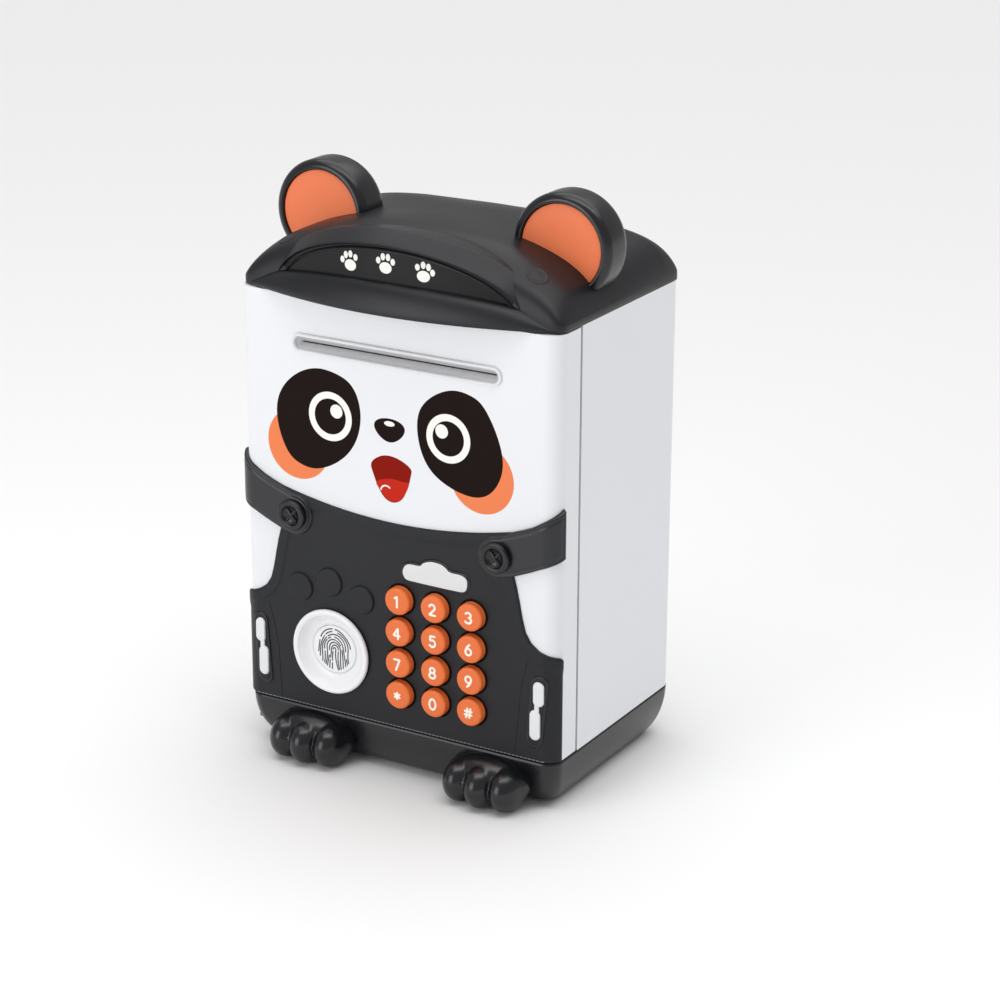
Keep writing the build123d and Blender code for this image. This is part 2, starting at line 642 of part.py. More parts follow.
with BuildPart() as door_shell:
    add(plan_block(body_plan().moved(Location((0, 0, DOOR_BOTTOM_Z))), door_span))
    add(plan_block(body_plan(-WALL).moved(Location((0, 0, DOOR_BOTTOM_Z + WALL))), door_span - 2 * WALL),
        mode=Mode.SUBTRACT)
    with Locations((0, DOOR_BACK_Y, 0)):
        Box(300, 200, 600, align=(Align.CENTER, Align.MIN, Align.CENTER), mode=Mode.SUBTRACT)
    for z in (DOOR_BOTTOM_Z, DOOR_TOP_Z - knuckle_h):
        with Locations((HINGE_X + 0.2, HINGE_Y, z)):
            Box(5.6, 6.0, knuckle_h, align=(Align.CENTER, Align.CENTER, Align.MIN))
    with Locations((HINGE_X, HINGE_Y, 0)):
        Cylinder(HINGE_PIN_R + RUNNING_GAP, 600, mode=Mode.SUBTRACT)
    with BuildSketch(plane_y(COVER_FRONT_Y)):
        with Locations(COVER_SCREWS):
            Circle(3.2)
    extrude(amount=COVER_FRONT_Y - DOOR_INNER_Y)
    with BuildSketch(plane_y(COVER_FRONT_Y)):
        with Locations(COVER_SCREWS):
            Circle(1.1)
    extrude(amount=8, mode=Mode.SUBTRACT)
    with BuildSketch(plane_y(DOOR_INNER_Y + 1)):
        with Locations(key_places):
            Circle(KEY_R + 0.3)
        with Locations((DISH_X, DISH_Z)):
            Circle(DISH_BARREL_R)
        with Locations((BILL_X, BILL_Z)):
            SlotOverall(BILL_SLOT_L + 2.4, BILL_SLOT_H + 1.6)
    extrude(amount=WALL + 2, mode=Mode.SUBTRACT)
save(door_shell.part, "door_shell")

with BuildPart() as bezel:
    with BuildSketch(plane_y(DOOR_INNER_Y)):
        with Locations((BILL_X, BILL_Z)):
            SlotOverall(BILL_SLOT_L + 2.4, BILL_SLOT_H + 1.6)
    extrude(amount=WALL)
    with BuildSketch(plane_y(FRONT_Y)):
        with Locations((BILL_X, BILL_Z)):
            SlotOverall(BILL_SLOT_L + 4.2, BILL_SLOT_H + 2.9)
    extrude(amount=1.0)
    fillet(bezel.faces().sort_by(Axis.Y)[0].outer_wire().edges(), 0.6)
    with BuildSketch(plane_y(DOOR_INNER_Y)):
        with Locations((BILL_X, BILL_Z)):
            SlotOverall(BILL_SLOT_L, BILL_SLOT_H)
    extrude(amount=WALL + 3, mode=Mode.SUBTRACT)
save(bezel.part, "bill_slot_bezel")

with BuildPart() as apron:
    add(apron_outline())
    extrude(amount=40, dir=(0, -1, 0))
    add(door_skin(0, APRON_T), mode=Mode.INTERSECT)
    with BuildSketch(plane_y(APRON_Y)):
        with Locations(TOE_PADS):
            Circle(5.8)
    extrude(amount=0.8)
    with BuildSketch(plane_y(FRONT_Y + 4)):
        with Locations(key_places):
            Circle(KEY_R + 0.45)
        with Locations((DISH_X, DISH_Z)):
            Circle(DISH_BARREL_R)
        for side_x in POCKET_SLOT_X.values():
            with Locations(Location((side_x, POCKET_SLOT_Z), 90)):
                SlotOverall(27.4, 5.2)
    extrude(amount=10, mode=Mode.SUBTRACT)
    add(cloud_face(FRONT_Y + 4))
    extrude(amount=10, dir=(0, -1, 0), mode=Mode.SUBTRACT)
save(apron.part, "apron_panel")

with BuildPart() as cloud_lens:
    add(cloud_face(FRONT_Y))
    extrude(amount=APRON_T + 0.3, dir=(0, -1, 0))
save(cloud_lens.part, "cloud_lens")

for side, slot_x in POCKET_SLOT_X.items():
    with BuildPart() as lens:
        with BuildSketch(plane_y(FRONT_Y + 4)):
            with Locations(Location((slot_x, POCKET_SLOT_Z), 90)):
                SlotOverall(27.4, 5.2)
        extrude(amount=10)
        add(door_skin(0, APRON_T + 0.4), mode=Mode.INTERSECT)
        if side == "right":
            with Locations((slot_x, APRON_Y - 0.4, POCKET_SLOT_Z)):
                Box(3.4, 1.0, 2.2, mode=Mode.SUBTRACT)
    save(lens.part, f"{side}_pocket_lens")

for side, button_x in (("left", -STRAP_BUTTON_X), ("right", STRAP_BUTTON_X)):
    with BuildPart() as strap_button:
        with BuildSketch(plane_y(APRON_Y)):
            with Locations((button_x, STRAP_BUTTON_Z)):
                Circle(STRAP_BUTTON_R)
        extrude(amount=2.6)
        fillet(strap_button.faces().sort_by(Axis.Y)[0].edges(), 1.0)
        with BuildSketch(plane_y(APRON_Y - 1.8)):
            with Locations((button_x, STRAP_BUTTON_Z)):
                Circle(STRAP_BUTTON_R - 1.5)
        extrude(amount=2, mode=Mode.SUBTRACT)
        with BuildSketch(plane_y(APRON_Y - 1.8)):
            for turn in (45, 135):
                with Locations(Location((button_x, STRAP_BUTTON_Z), turn)):
                    SlotOverall(8.0, 1.6)
        extrude(amount=0.7)
    save(strap_button.part, f"{side}_strap_button")

with BuildPart() as dish:
    with BuildSketch(plane_y(APRON_Y)):
        with Locations((DISH_X, DISH_Z)):
            Circle(DISH_R)
    extrude(amount=APRON_Y - DISH_FRONT_Y)
    fillet(dish.faces().sort_by(Axis.Y)[0].edges(), 0.9)
    with BuildSketch(plane_y(DISH_BACK_Y)):
        with Locations((DISH_X, DISH_Z)):
            Circle(DISH_BARREL_R)
    extrude(amount=DISH_BACK_Y - APRON_Y)
    with BuildSketch(plane_y(DISH_BACK_Y)):
        with Locations((DISH_X, DISH_Z)):
            Circle(PAD_R + 0.15)
    extrude(amount=DISH_BACK_Y - DISH_FRONT_Y, mode=Mode.SUBTRACT)
    with BuildPart(mode=Mode.PRIVATE) as bowl:
        with BuildSketch(plane_y(DISH_FLOOR_Y)) as small:
            with Locations((DISH_X, DISH_Z)):
                Circle(PAD_R + 0.15)
        with BuildSketch(plane_y(DISH_FRONT_Y)) as wide:
            with Locations((DISH_X, DISH_Z)):
                Circle(DISH_MOUTH_R)
        loft([small.sketch.face(), wide.sketch.face()], ruled=True)
    add(bowl.part, mode=Mode.SUBTRACT)
save(dish.part, "scanner_dish")

with BuildPart() as pad:
    with BuildSketch(plane_y(-35.1)):
        with Locations((DISH_X, DISH_Z)):
            Circle(PAD_R)
    extrude(amount=-35.1 - DISH_FLOOR_Y + 0.2)
    with BuildSketch(plane_y(-35.0)):
        with Locations((DISH_X, DISH_Z)):
            Circle(PAD_R + 1.4)
    extrude(amount=1.0)
save(pad.part, "scanner_pad")

for name, (x, z) in zip(KEY_NAMES, key_places):
    with BuildPart() as key:
        with BuildSketch(plane_y(KEY_FLANGE_Y)):
            with Locations((x, z)):
                Circle(KEY_R)
        extrude(amount=KEY_FLANGE_Y - KEY_FRONT_Y)
        fillet(key.faces().sort_by(Axis.Y)[0].edges(), 1.1)
        with BuildSketch(plane_y(KEY_FLANGE_Y + KEY_FLANGE_T)):
            with Locations((x, z)):
                Circle(KEY_FLANGE_R)
        extrude(amount=KEY_FLANGE_T)
    save(key.part, f"key_{name}")

with BuildPart() as membrane:
    with BuildSketch(plane_y(BOARD_FRONT_Y)):
        with Locations((KEY_X0 + KEY_PITCH_X, KEY_Z0 - 1.5 * KEY_PITCH_Z)):
            Rectangle(2 * KEY_PITCH_X + 13, 3 * KEY_PITCH_Z + 13)
    extrude(amount=0.8)
    with BuildSketch(plane_y(BOARD_FRONT_Y)):
        with Locations(key_places):
            Circle(3.2)
    extrude(amount=1.4)
save(membrane.part, "keypad_membrane")

with BuildPart() as board:
    with BuildSketch(plane_y(BOARD_FRONT_Y + BOARD_T)):
        with Locations((-1.0, 60.0)):
            Rectangle(94, 66)
    extrude(amount=BOARD_T)
    with BuildSketch(plane_y(BOARD_FRONT_Y + BOARD_T + 2.2)):
        with Locations((-20, 72)):
            Rectangle(14, 14)
        with Locations((14, 50), (30, 74)):
            Rectangle(8, 6)
    extrude(amount=2.2)
save(board.part, "main_board")

with BuildPart() as cover:
    with BuildSketch(plane_y(COVER_BACK_Y)):
        with Locations((0, (DOOR_BOTTOM_Z + DOOR_TOP_Z) / 2)):
            RectangleRounded(125, door_span - 5.4, 3)
        with Locations((BILL_X, BILL_Z)):
            Rectangle(90, 8, mode=Mode.SUBTRACT)
        with Locations(COVER_SCREWS):
            Circle(1.1, mode=Mode.SUBTRACT)
    extrude(amount=COVER_T)
save(cover.part, "door_back_cover")

with BuildPart() as door_screws:
    with BuildSketch(plane_y(COVER_BACK_Y + 1.5)):
        with Locations(COVER_SCREWS):
            Circle(2.5)
    extrude(amount=1.5)
    with BuildSketch(plane_y(COVER_BACK_Y)):
        with Locations(COVER_SCREWS):
            Circle(1.1)
    extrude(amount=COVER_T + 7)
save(door_screws.part, "door_screws")

with BuildPart() as hinge_pins:
    with Locations((HINGE_X, HINGE_Y, 12)):
        Cylinder(HINGE_PIN_R, DOOR_BOTTOM_Z + 6 - 12, align=(Align.CENTER, Align.CENTER, Align.MIN))
    with Locations((HINGE_X, HINGE_Y, ROOF_Z + 4)):
        Cylinder(HINGE_PIN_R, ROOF_Z + 4 - DOOR_TOP_Z + 6, align=(Align.CENTER, Align.CENTER, Align.MAX))
save(hinge_pins.part, "hinge_pins")

# --- Bill feeder ---------------------------------------------------------------------------

with BuildPart() as frame:
    with Locations((0, (DOOR_INNER_Y + COVER_FRONT_Y) / 2, 0)):
        for x, low in ((-PLATE_X - PLATE_T / 2, 156.0), (PLATE_X + PLATE_T / 2, 147.0)):
            with Locations((x, 0, low)):
                Box(PLATE_T, COVER_FRONT_Y - DOOR_INNER_Y - 0.4, 180 - low,
                    align=(Align.CENTER, Align.CENTER, Align.MIN))
    with Locations((0, DOOR_INNER_Y + 0.2, 180)):
        Box(2 * PLATE_X + 1, 9, 1.6, align=(Align.CENTER, Align.MIN, Align.MAX))
    with Locations((0, DOOR_INNER_Y + 0.2, BILL_Z - 4.2)):
        Box(2 * PLATE_X + 1, 1.2, 7.5, align=(Align.CENTER, Align.MIN, Align.MAX))
    with BuildSketch(Plane.YZ.offset(-PLATE_X - 3)):
        with Locations((FEED_Y, FEED_Z), (FEED_Y, PINCH_Z)):
            Circle(SHAFT_R + RUNNING_GAP)
    extrude(amount=2 * PLATE_X + 6, mode=Mode.SUBTRACT)
    with BuildSketch(Plane.YZ.offset(PLATE_X - 1)):
        with Locations((FEED_Y, MOTOR_Z)):
            Circle(1.6)
    extrude(amount=4, mode=Mode.SUBTRACT)
save(frame.part, "feeder_frame")

with BuildPart() as motor:
    with Locations((PLATE_X, FEED_Y, MOTOR_Z)):
        Box(23, 10.4, 9.8, align=(Align.MAX, Align.CENTER, Align.CENTER))
save(motor.part, "feed_motor")

with BuildPart() as feed_shaft:
    with BuildSketch(Plane.YZ.offset(-PLATE_X - PLATE_T - 1.5)):
        with Locations((FEED_Y, FEED_Z)):
            Circle(SHAFT_R)
    extrude(amount=2 * (PLATE_X + PLATE_T) + 1.5 + 0.6 + GEAR_W + 0.8)
save(feed_shaft.part, "feed_shaft")
save(roller_set(FEED_Z), "feed_rollers")

with BuildPart() as shaft_gear:
    with BuildSketch(Plane.YZ.offset(GEAR_X)):
        with Locations((FEED_Y, FEED_Z)):
            with BuildLine():
                Polyline(*[(y + FEED_Y, z + FEED_Z) for y, z in gear_points(GEAR_TEETH, math.pi / 2)], close=True)
            make_face()
            Circle(SHAFT_R, mode=Mode.SUBTRACT)
    extrude(amount=GEAR_W)
save(shaft_gear.part, "shaft_gear")

with BuildPart() as pinion:
    with BuildSketch(Plane.YZ.offset(GEAR_X - 0.2)):
        with BuildLine():
            turn = math.pi / 2 + math.pi / PINION_TEETH
            Polyline(*[(y + FEED_Y, z + MOTOR_Z) for y, z in gear_points(PINION_TEETH, turn)], close=True)
        make_face()
    extrude(amount=GEAR_W + 0.4)
    with BuildSketch(Plane.YZ.offset(PLATE_X + 0.1)):
        with Locations((FEED_Y, MOTOR_Z)):
            Circle(0.75)
    extrude(amount=GEAR_X - PLATE_X)
save(pinion.part, "motor_pinion")

with BuildPart() as pinch_shaft:
    with BuildSketch(Plane.YZ.offset(-PLATE_X - PLATE_T - 1.5)):
        with Locations((FEED_Y, PINCH_Z)):
            Circle(SHAFT_R)
    extrude(amount=2 * (PLATE_X + PLATE_T + 1.5))
save(pinch_shaft.part, "pinch_shaft")
save(roller_set(PINCH_Z), "pinch_rollers")

# --- Latch ---------------------------------------------------------------------------------

with BuildPart() as latch_housing:
    with Locations((42, COVER_BACK_Y, LATCH_Z)):
        Box(16, LATCH_Y - COVER_BACK_Y + 5, 14, align=(Align.MIN, Align.MIN, Align.CENTER))
    with Locations((50, LATCH_Y, LATCH_Z)):
        Box(30, BOLT_W + 0.4, BOLT_H + 0.4, mode=Mode.SUBTRACT)
save(latch_housing.part, "latch_housing")

with BuildPart() as bolt:
    with Locations((BOLT_TIP_X, LATCH_Y, LATCH_Z)):
        Box(BOLT_LENGTH, BOLT_W, BOLT_H, align=(Align.MAX, Align.CENTER, Align.CENTER))
save(bolt.part, "latch_bolt")
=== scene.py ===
import math

import bpy
import numpy as np
from mathutils import Matrix, Vector


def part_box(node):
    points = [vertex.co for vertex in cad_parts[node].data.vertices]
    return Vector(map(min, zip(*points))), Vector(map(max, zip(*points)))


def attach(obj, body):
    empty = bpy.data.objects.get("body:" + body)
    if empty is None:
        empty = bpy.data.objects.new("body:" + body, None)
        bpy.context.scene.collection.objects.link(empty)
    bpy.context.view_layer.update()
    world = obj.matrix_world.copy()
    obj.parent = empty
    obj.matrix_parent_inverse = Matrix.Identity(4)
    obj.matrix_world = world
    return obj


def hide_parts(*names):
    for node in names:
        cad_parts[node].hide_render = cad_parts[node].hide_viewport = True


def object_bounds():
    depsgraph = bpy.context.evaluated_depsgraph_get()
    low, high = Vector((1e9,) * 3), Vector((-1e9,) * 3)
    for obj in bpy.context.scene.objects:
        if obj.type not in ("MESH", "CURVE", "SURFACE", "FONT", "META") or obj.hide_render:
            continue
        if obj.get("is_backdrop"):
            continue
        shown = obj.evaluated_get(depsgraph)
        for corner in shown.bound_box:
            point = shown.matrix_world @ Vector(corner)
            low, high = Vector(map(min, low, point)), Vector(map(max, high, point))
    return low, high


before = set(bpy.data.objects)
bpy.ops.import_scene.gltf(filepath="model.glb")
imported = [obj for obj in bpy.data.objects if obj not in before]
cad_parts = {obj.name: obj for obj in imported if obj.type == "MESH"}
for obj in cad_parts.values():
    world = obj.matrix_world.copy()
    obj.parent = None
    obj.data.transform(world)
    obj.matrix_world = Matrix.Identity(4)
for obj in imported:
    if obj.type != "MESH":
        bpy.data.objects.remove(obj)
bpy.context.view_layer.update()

# --- Camera, floor and light ---------------------------------------------------------------
# A toy on a pale studio table, seen from its right front and a little above. Lengths in this
# script are millimetres, and every mesh is written in metres.

MM = 0.001


def linear(hex_colour):
    """Linear RGBA of an sRGB hex value: ((c + 0.055) / 1.055) ** 2.4 above the toe."""
    parts = [int(hex_colour[i:i + 2], 16) / 255 for i in (1, 3, 5)]
    return [c / 12.92 if c <= 0.04045 else ((c + 0.055) / 1.055) ** 2.4 for c in parts] + [1.0]


def new_material(name, **sockets):
    """Material whose Principled shader has the given constants on its own sockets."""
    made = bpy.data.materials.new(name)
    made.use_nodes = True
    shader = made.node_tree.nodes["Principled BSDF"]
    for key, value in sockets.items():
        shader.inputs[key.replace("_", " ")].default_value = value
    return made, made.node_tree, shader


camera_turn, camera_rise, camera_roll = (math.radians(a) for a in (30.37, 19.51, 0.246))
back = Vector((math.sin(camera_turn) * math.cos(camera_rise),
               -math.cos(camera_turn) * math.cos(camera_rise), math.sin(camera_rise)))
across = Vector((0, 0, 1)).cross(back).normalized()
upward = back.cross(across)
right_axis = across * math.cos(camera_roll) + upward * math.sin(camera_roll)
up_axis = upward * math.cos(camera_roll) - across * math.sin(camera_roll)
camera = bpy.data.objects.new("camera", bpy.data.cameras.new("camera"))
camera.data.sensor_width = 36.0
camera.data.lens = 101.6
camera.data.clip_start = 0.05
camera.matrix_world = Matrix((
    (right_axis.x, up_axis.x, back.x, 534.64 * MM),
    (right_axis.y, up_axis.y, back.y, -874.86 * MM),
    (right_axis.z, up_axis.z, back.z, 464.37 * MM),
    (0, 0, 0, 1)))
bpy.context.collection.objects.link(camera)
bpy.context.scene.camera = camera

floor_mesh = bpy.data.meshes.new("floor")
floor_mesh.from_pydata([(-6, -6, 0), (6, -6, 0), (6, 6, 0), (-6, 6, 0)], [], [(0, 1, 2, 3)])
floor = bpy.data.objects.new("floor", floor_mesh)
bpy.context.collection.objects.link(floor)
floor_paint, _, _ = new_material("pale_table", Base_Color=linear("#F4F4F4"), Roughness=0.85)
floor_mesh.materials.append(floor_paint)
floor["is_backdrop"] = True

world = bpy.data.worlds.new("studio")
bpy.context.scene.world = world
world.use_nodes = True
world.node_tree.nodes["Background"].inputs["Color"].default_value = linear("#FFFFFF")
world.node_tree.nodes["Background"].inputs["Strength"].default_value = 0.43
bpy.context.scene.view_settings.view_transform = "Standard"


def softbox(name, place, aim, width, height, power):
    """Rectangular lamp at place that shines towards aim; places in millimetres."""
    lamp = bpy.data.lights.new(name, "AREA")
    lamp.shape, lamp.size, lamp.size_y, lamp.energy = "RECTANGLE", width * MM, height * MM, power
    made = bpy.data.objects.new(name, lamp)
    made.location = Vector(place) * MM
    made.rotation_mode = "QUATERNION"
    made.rotation_quaternion = (Vector(place) - Vector(aim)).to_track_quat("Z", "Y")
    bpy.context.collection.objects.link(made)


softbox("key_softbox", (-380, -1050, 360), (0, 0, 110), 650, 650, 3.6)
softbox("top_strip", (120, -260, 900), (0, -30, 150), 1000, 260, 1.7)
overhead = bpy.data.objects.new("overhead_sun", bpy.data.lights.new("overhead_sun", "SUN"))
overhead.data.energy = 1.6
overhead.data.angle = math.radians(80)
overhead.rotation_euler = (math.radians(-14), 0, 0)
bpy.context.collection.objects.link(overhead)

# --- Cabinet and door shells ---------------------------------------------------------------
# Injection-moulded ABS in glossy white: two thin-walled boxes, the rear one fixed and the
# front one hung on pins at its left edge. A fine spark texture takes the mirror off the gloss.

BODY_LOW, BODY_HIGH = (np.array(c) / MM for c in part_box("cabinet_shell"))
DOOR_LOW, DOOR_HIGH = (np.array(c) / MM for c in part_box("door_shell"))
HALF_W = BODY_HIGH[0]
BACK_Y = BODY_HIGH[1]
FRONT_Y = DOOR_LOW[1]
SEAM_Z = BODY_LOW[2]
ROOF_Z = BODY_HIGH[2]
CORNER_R = 6.4
FLAT_S = HALF_W - CORNER_R
CORNER_ARC = CORNER_R * math.pi / 2


def node(tree, kind, inputs=None, **settings):
    """Add one shader node; inputs maps a socket's name or number to a value or a link."""
    made = tree.nodes.new(kind)
    for key, value in settings.items():
        setattr(made, key, value)
    for key, value in (inputs or {}).items():
        if isinstance(value, bpy.types.NodeSocket):
            tree.links.new(value, made.inputs[key])
        else:
            made.inputs[key].default_value = value
    return made


def moulded(name, hex_colour, roughness, grain=0.35, depth=0.02, shine=0.5, tint=0.03, metal=0.0):
    """Moulded plastic: a spark-eroded skin of grain mm, a faint flow tint and wear-soft gloss.

    Bump height is noise of the Object coordinate at 1 / grain; the colour drifts by tint over
    about 30 mm, and roughness by a tenth, as the melt's flow leaves them.
    """
    made, tree, shader = new_material(name, IOR=1.5, Specular_IOR_Level=shine, Metallic=metal)
    place = node(tree, "ShaderNodeTexCoord").outputs["Object"]
    flow = node(tree, "ShaderNodeTexNoise", {"Vector": place, "Scale": 1 / (30 * MM), "Detail": 3.0})
    base = linear(hex_colour)
    low = [c * (1 - tint) for c in base[:3]] + [1.0]
    high = [min(1.0, c * (1 + tint)) for c in base[:3]] + [1.0]
    drift = node(tree, "ShaderNodeMix", {0: flow.outputs["Fac"], 6: low, 7: high}, data_type="RGBA")
    tree.links.new(drift.outputs[2], shader.inputs["Base Color"])
    gloss = node(tree, "ShaderNodeMapRange", {
        "Value": flow.outputs["Fac"], "From Min": 0.3, "From Max": 0.7,
        "To Min": roughness * 0.9, "To Max": roughness * 1.1})
    tree.links.new(gloss.outputs["Result"], shader.inputs["Roughness"])
    skin = node(tree, "ShaderNodeTexNoise", {"Vector": place, "Scale": 1 / (grain * MM), "Detail": 2.0})
    bump = node(tree, "ShaderNodeBump", {"Height": skin.outputs["Fac"], "Strength": 0.25,
                                         "Distance": depth * MM})
    tree.links.new(bump.outputs["Normal"], shader.inputs["Normal"])
    return made


def paint_node(name, material):
    """Give a CAD node's own object one material."""
    owner = bpy.data.objects[name]
    owner.data.materials.clear()
    owner.data.materials.append(material)


white_abs = moulded("moulded_white_abs", "#ECEDF1", 0.32, grain=0.8, depth=0.003, tint=0.008)
for shell in ("cabinet_shell", "door_shell"):
    paint_node(shell, white_abs)

# --- Door seam shade -----------------------------------------------------------------------
# Painted shade: a strip of near-black matt stock stuck to the cabinet's front edge. It keeps
# the light out of the seam and shows only as the dark line between the two shells.


def mesh_piece(name, points, faces, body, material, replaced=(), smooth=True):
    """One object from vertices in mm and faces; rides on its body and takes its slot.

    A closed surface whose signed volume, sum of v0 . (v1 x v2) / 6, is negative is turned
    inside out, so that every piece faces outwards.
    """
    mesh = bpy.data.meshes.new(name)
    mesh.from_pydata((np.asarray(points).reshape(-1, 3) * MM).tolist(), [], faces)
    mesh.validate()
    mesh.calc_loop_triangles()
    corners = np.zeros(len(mesh.loop_triangles) * 3, int)
    mesh.loop_triangles.foreach_get("vertices", corners)
    spots = np.zeros(len(mesh.vertices) * 3)
    mesh.vertices.foreach_get("co", spots)
    spots = spots.reshape(-1, 3) - spots.reshape(-1, 3).mean(0)
    v0, v1, v2 = (spots[corners.reshape(-1, 3)[:, k]] for k in range(3))
    if (v0 * np.cross(v1, v2)).sum() < 0:
        mesh.flip_normals()
    mesh.polygons.foreach_set("use_smooth", np.full(len(mesh.polygons), smooth))
    mesh.materials.append(material)
    mesh.update()
    made = bpy.data.objects.new(name, mesh)
    bpy.context.collection.objects.link(made)
    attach(made, body)
    if replaced:
        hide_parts(*replaced)
    return made


def ring_solid(rings):
    """Closed surface through rings of equal length, (n, m, 3), with a fan over each end."""
    n, m = rings.shape[:2]
    points = np.concatenate([rings.reshape(-1, 3), rings[0].mean(0)[None], rings[-1].mean(0)[None]])
    r, c = np.meshgrid(np.arange(n - 1), np.arange(m), indexing="ij")
    nxt = (c + 1) % m
    quads = np.stack([r * m + c, r * m + nxt, (r + 1) * m + nxt, (r + 1) * m + c], -1).reshape(-1, 4)
    k = np.arange(m)
    nxt = (k + 1) % m
    fans = np.concatenate([np.stack([np.full(m, n * m), nxt, k], -1),
                           np.stack([np.full(m, n * m + 1), (n - 1) * m + k, (n - 1) * m + nxt], -1)])
    return points, quads.tolist() + fans.tolist()


# Near-black matt stock in the seam: painted shade for the gap between the two shells.
seam_shade_black = moulded("painted_seam_shade_black", "#0C0C0D", 0.8, grain=0.6, depth=0.03, shine=0.1)
seam_front, seam_back = DOOR_HIGH[1] + 0.1, BODY_LOW[1] - 0.02
inner_x, outer_x = HALF_W - 2.0, HALF_W - 0.5
strip = [(inner_x, seam_front), (outer_x, seam_front), (outer_x, seam_back), (inner_x, seam_back)]
strip_ends = (SEAM_Z + 1, ROOF_Z - 0.6)
points, faces = ring_solid(np.array([[(x, y, z) for x, y in strip] for z in strip_ends]))
mesh_piece("door_seam_shade_strip", points, faces, "cabinet", seam_shade_black, smooth=False)

# --- Face print ----------------------------------------------------------------------------
# The panda's face is tampo-printed ink on the white door: patches, rings, cheeks, nose and
# mouth. Each ink layer is a film a few hundredths of a millimetre thick over the last one.
# Like all that lies on the door, it is laid out on the developed skin: s runs across the front
# and round the corners, z runs up, and h stands off the white face.


def wrap(s, z, h):
    """Door skin point. |s| under FLAT_S is the flat front; then a quarter turn of CORNER_R + h.

    x = sign(s) * (FLAT_S + (CORNER_R + h) sin a), y = corner centre - (CORNER_R + h) cos a,
    with a = (|s| - FLAT_S) / CORNER_R held between 0 and a quarter turn.
    """
    s, z, h = np.broadcast_arrays(np.asarray(s, float), np.asarray(z, float), np.asarray(h, float))
    turn = np.clip((np.abs(s) - FLAT_S) / CORNER_R, 0, math.pi / 2)
    past = np.maximum(np.abs(s) - FLAT_S - CORNER_ARC, 0)
    x = np.sign(s) * (np.minimum(np.abs(s), FLAT_S) + (CORNER_R + h) * np.sin(turn))
    y = FRONT_Y + CORNER_R - (CORNER_R + h) * np.cos(turn) + past
    return np.stack([x, y, z], axis=-1)


def blob(outline, low, high, rounding=0.0):
    """Flat-backed pad on the door skin from a closed (m, 2) outline of s and z.

    Rings shrink to the outline's mean; over the last rounding mm the height falls as a quarter
    circle, so that h = low + (high - low) * sqrt(1 - t * t).
    """
    centre = outline.mean(0)
    reach = np.linalg.norm(outline - centre, axis=1).min()
    layers = [wrap(outline[:, 0], outline[:, 1], low)]
    for t in np.linspace(1, 0, 5 if rounding else 2):
        inner = centre + (outline - centre) * (1 - rounding * (1 - t) / reach)
        rise = low + (high - low) * math.sqrt(max(0.0, 1 - t * t)) if rounding else high
        layers.append(wrap(inner[:, 0], inner[:, 1], rise))
    for t in (0.2, 0.4, 0.6, 0.8):
        inner = centre + (outline - centre) * (1 - rounding / reach) * (1 - t)
        layers.append(wrap(inner[:, 0], inner[:, 1], high))
    return ring_solid(np.array(layers))


def through(points, soft=3, swell=1.0, count=144):
    """Closed Catmull-Rom curve near a few points, as (count, 2).

    It is averaged over 2 soft + 1 steps and then scaled by swell about its middle, which gives
    back what the averaging takes off.
    """
    p = np.array(points, float)
    t = np.arange(count) * len(p) / count
    k = t.astype(int)
    u = (t - k)[:, None]
    p0, p1, p2, p3 = (p[(k + shift) % len(p)] for shift in (-1, 0, 1, 2))
    curve = 0.5 * (2 * p1 + (p2 - p0) * u + (2 * p0 - 5 * p1 + 4 * p2 - p3) * u ** 2
                   + (3 * p1 - p0 - 3 * p2 + p3) * u ** 3)
    curve = np.mean([np.roll(curve, shift, axis=0) for shift in range(-soft, soft + 1)], axis=0)
    return curve.mean(0) + swell * (curve - curve.mean(0))


def ink(name, hex_colour, roughness=0.45):
    """Printed ink: satin film with a faint grain of 0.6 mm left by the pad."""
    return moulded(name, hex_colour, roughness, grain=0.6, depth=0.002, shine=0.06, tint=0.02)


patch_ink = ink("print_brown_black", "#1B100D")
cheek_ink = ink("print_peach", "#F18657")
white_ink = ink("print_white", "#FAF8F3")
mouth_ink = ink("print_maroon", "#8A1405")
tongue_ink = ink("print_red", "#C62A18")
angle = np.linspace(0, 2 * math.pi, 120, endpoint=False)


def print_layer(name, outline, height, material):
    """One ink film on the door at its height in mm."""
    points, faces = blob(outline, 0.004, height)
    return mesh_piece(name, points, faces, "door", material, smooth=False)


def circle(s, z, r):
    """Circle outline about (s, z)."""
    return np.stack([s + r * np.cos(angle), z + r * np.sin(angle)], -1)


print_layer("left_cheek", circle(-43.0, 127.9, 13.9), 0.02, cheek_ink)
print_layer("right_cheek", circle(37.5, 128.2, 13.6), 0.02, cheek_ink)
left_patch = [(-15.0, 141.5), (-18.1, 153.6), (-25.8, 157.6), (-36.4, 158.5), (-47.9, 151.4),
              (-52.7, 139.5), (-48.1, 124.7), (-41.5, 120.6), (-33.3, 120.0), (-20.5, 127.8)]
right_patch = [(46.0, 139.3), (38.9, 154.6), (32.6, 158.5), (23.8, 159.4), (13.1, 152.9),
               (10.2, 143.2), (13.9, 129.6), (24.5, 122.6), (37.2, 120.9), (44.5, 128.3)]
print_layer("left_eye_patch", through(left_patch, 8, 1.035), 0.035, patch_ink)
print_layer("right_eye_patch", through(right_patch, 8, 1.035), 0.035, patch_ink)
EYE_Z = 141.1
for side, s, ring_r, pupil_r, glint in (("left", -28.4, 9.6, 6.95, 2.8), ("right", 23.3, 9.4, 6.7, -2.8)):
    print_layer(f"{side}_eye_ring", circle(s, EYE_Z, ring_r), 0.05, white_ink)
    print_layer(f"{side}_pupil", circle(s, EYE_Z, pupil_r), 0.065, patch_ink)
    print_layer(f"{side}_glint", circle(s + glint, EYE_Z + 2.4, 2.7), 0.08, white_ink)
NOSE_S, NOSE_Z = -2.2, 140.0
nose_s = NOSE_S + 6.5 * np.cos(angle) * (1 + 0.26 * np.sin(angle))
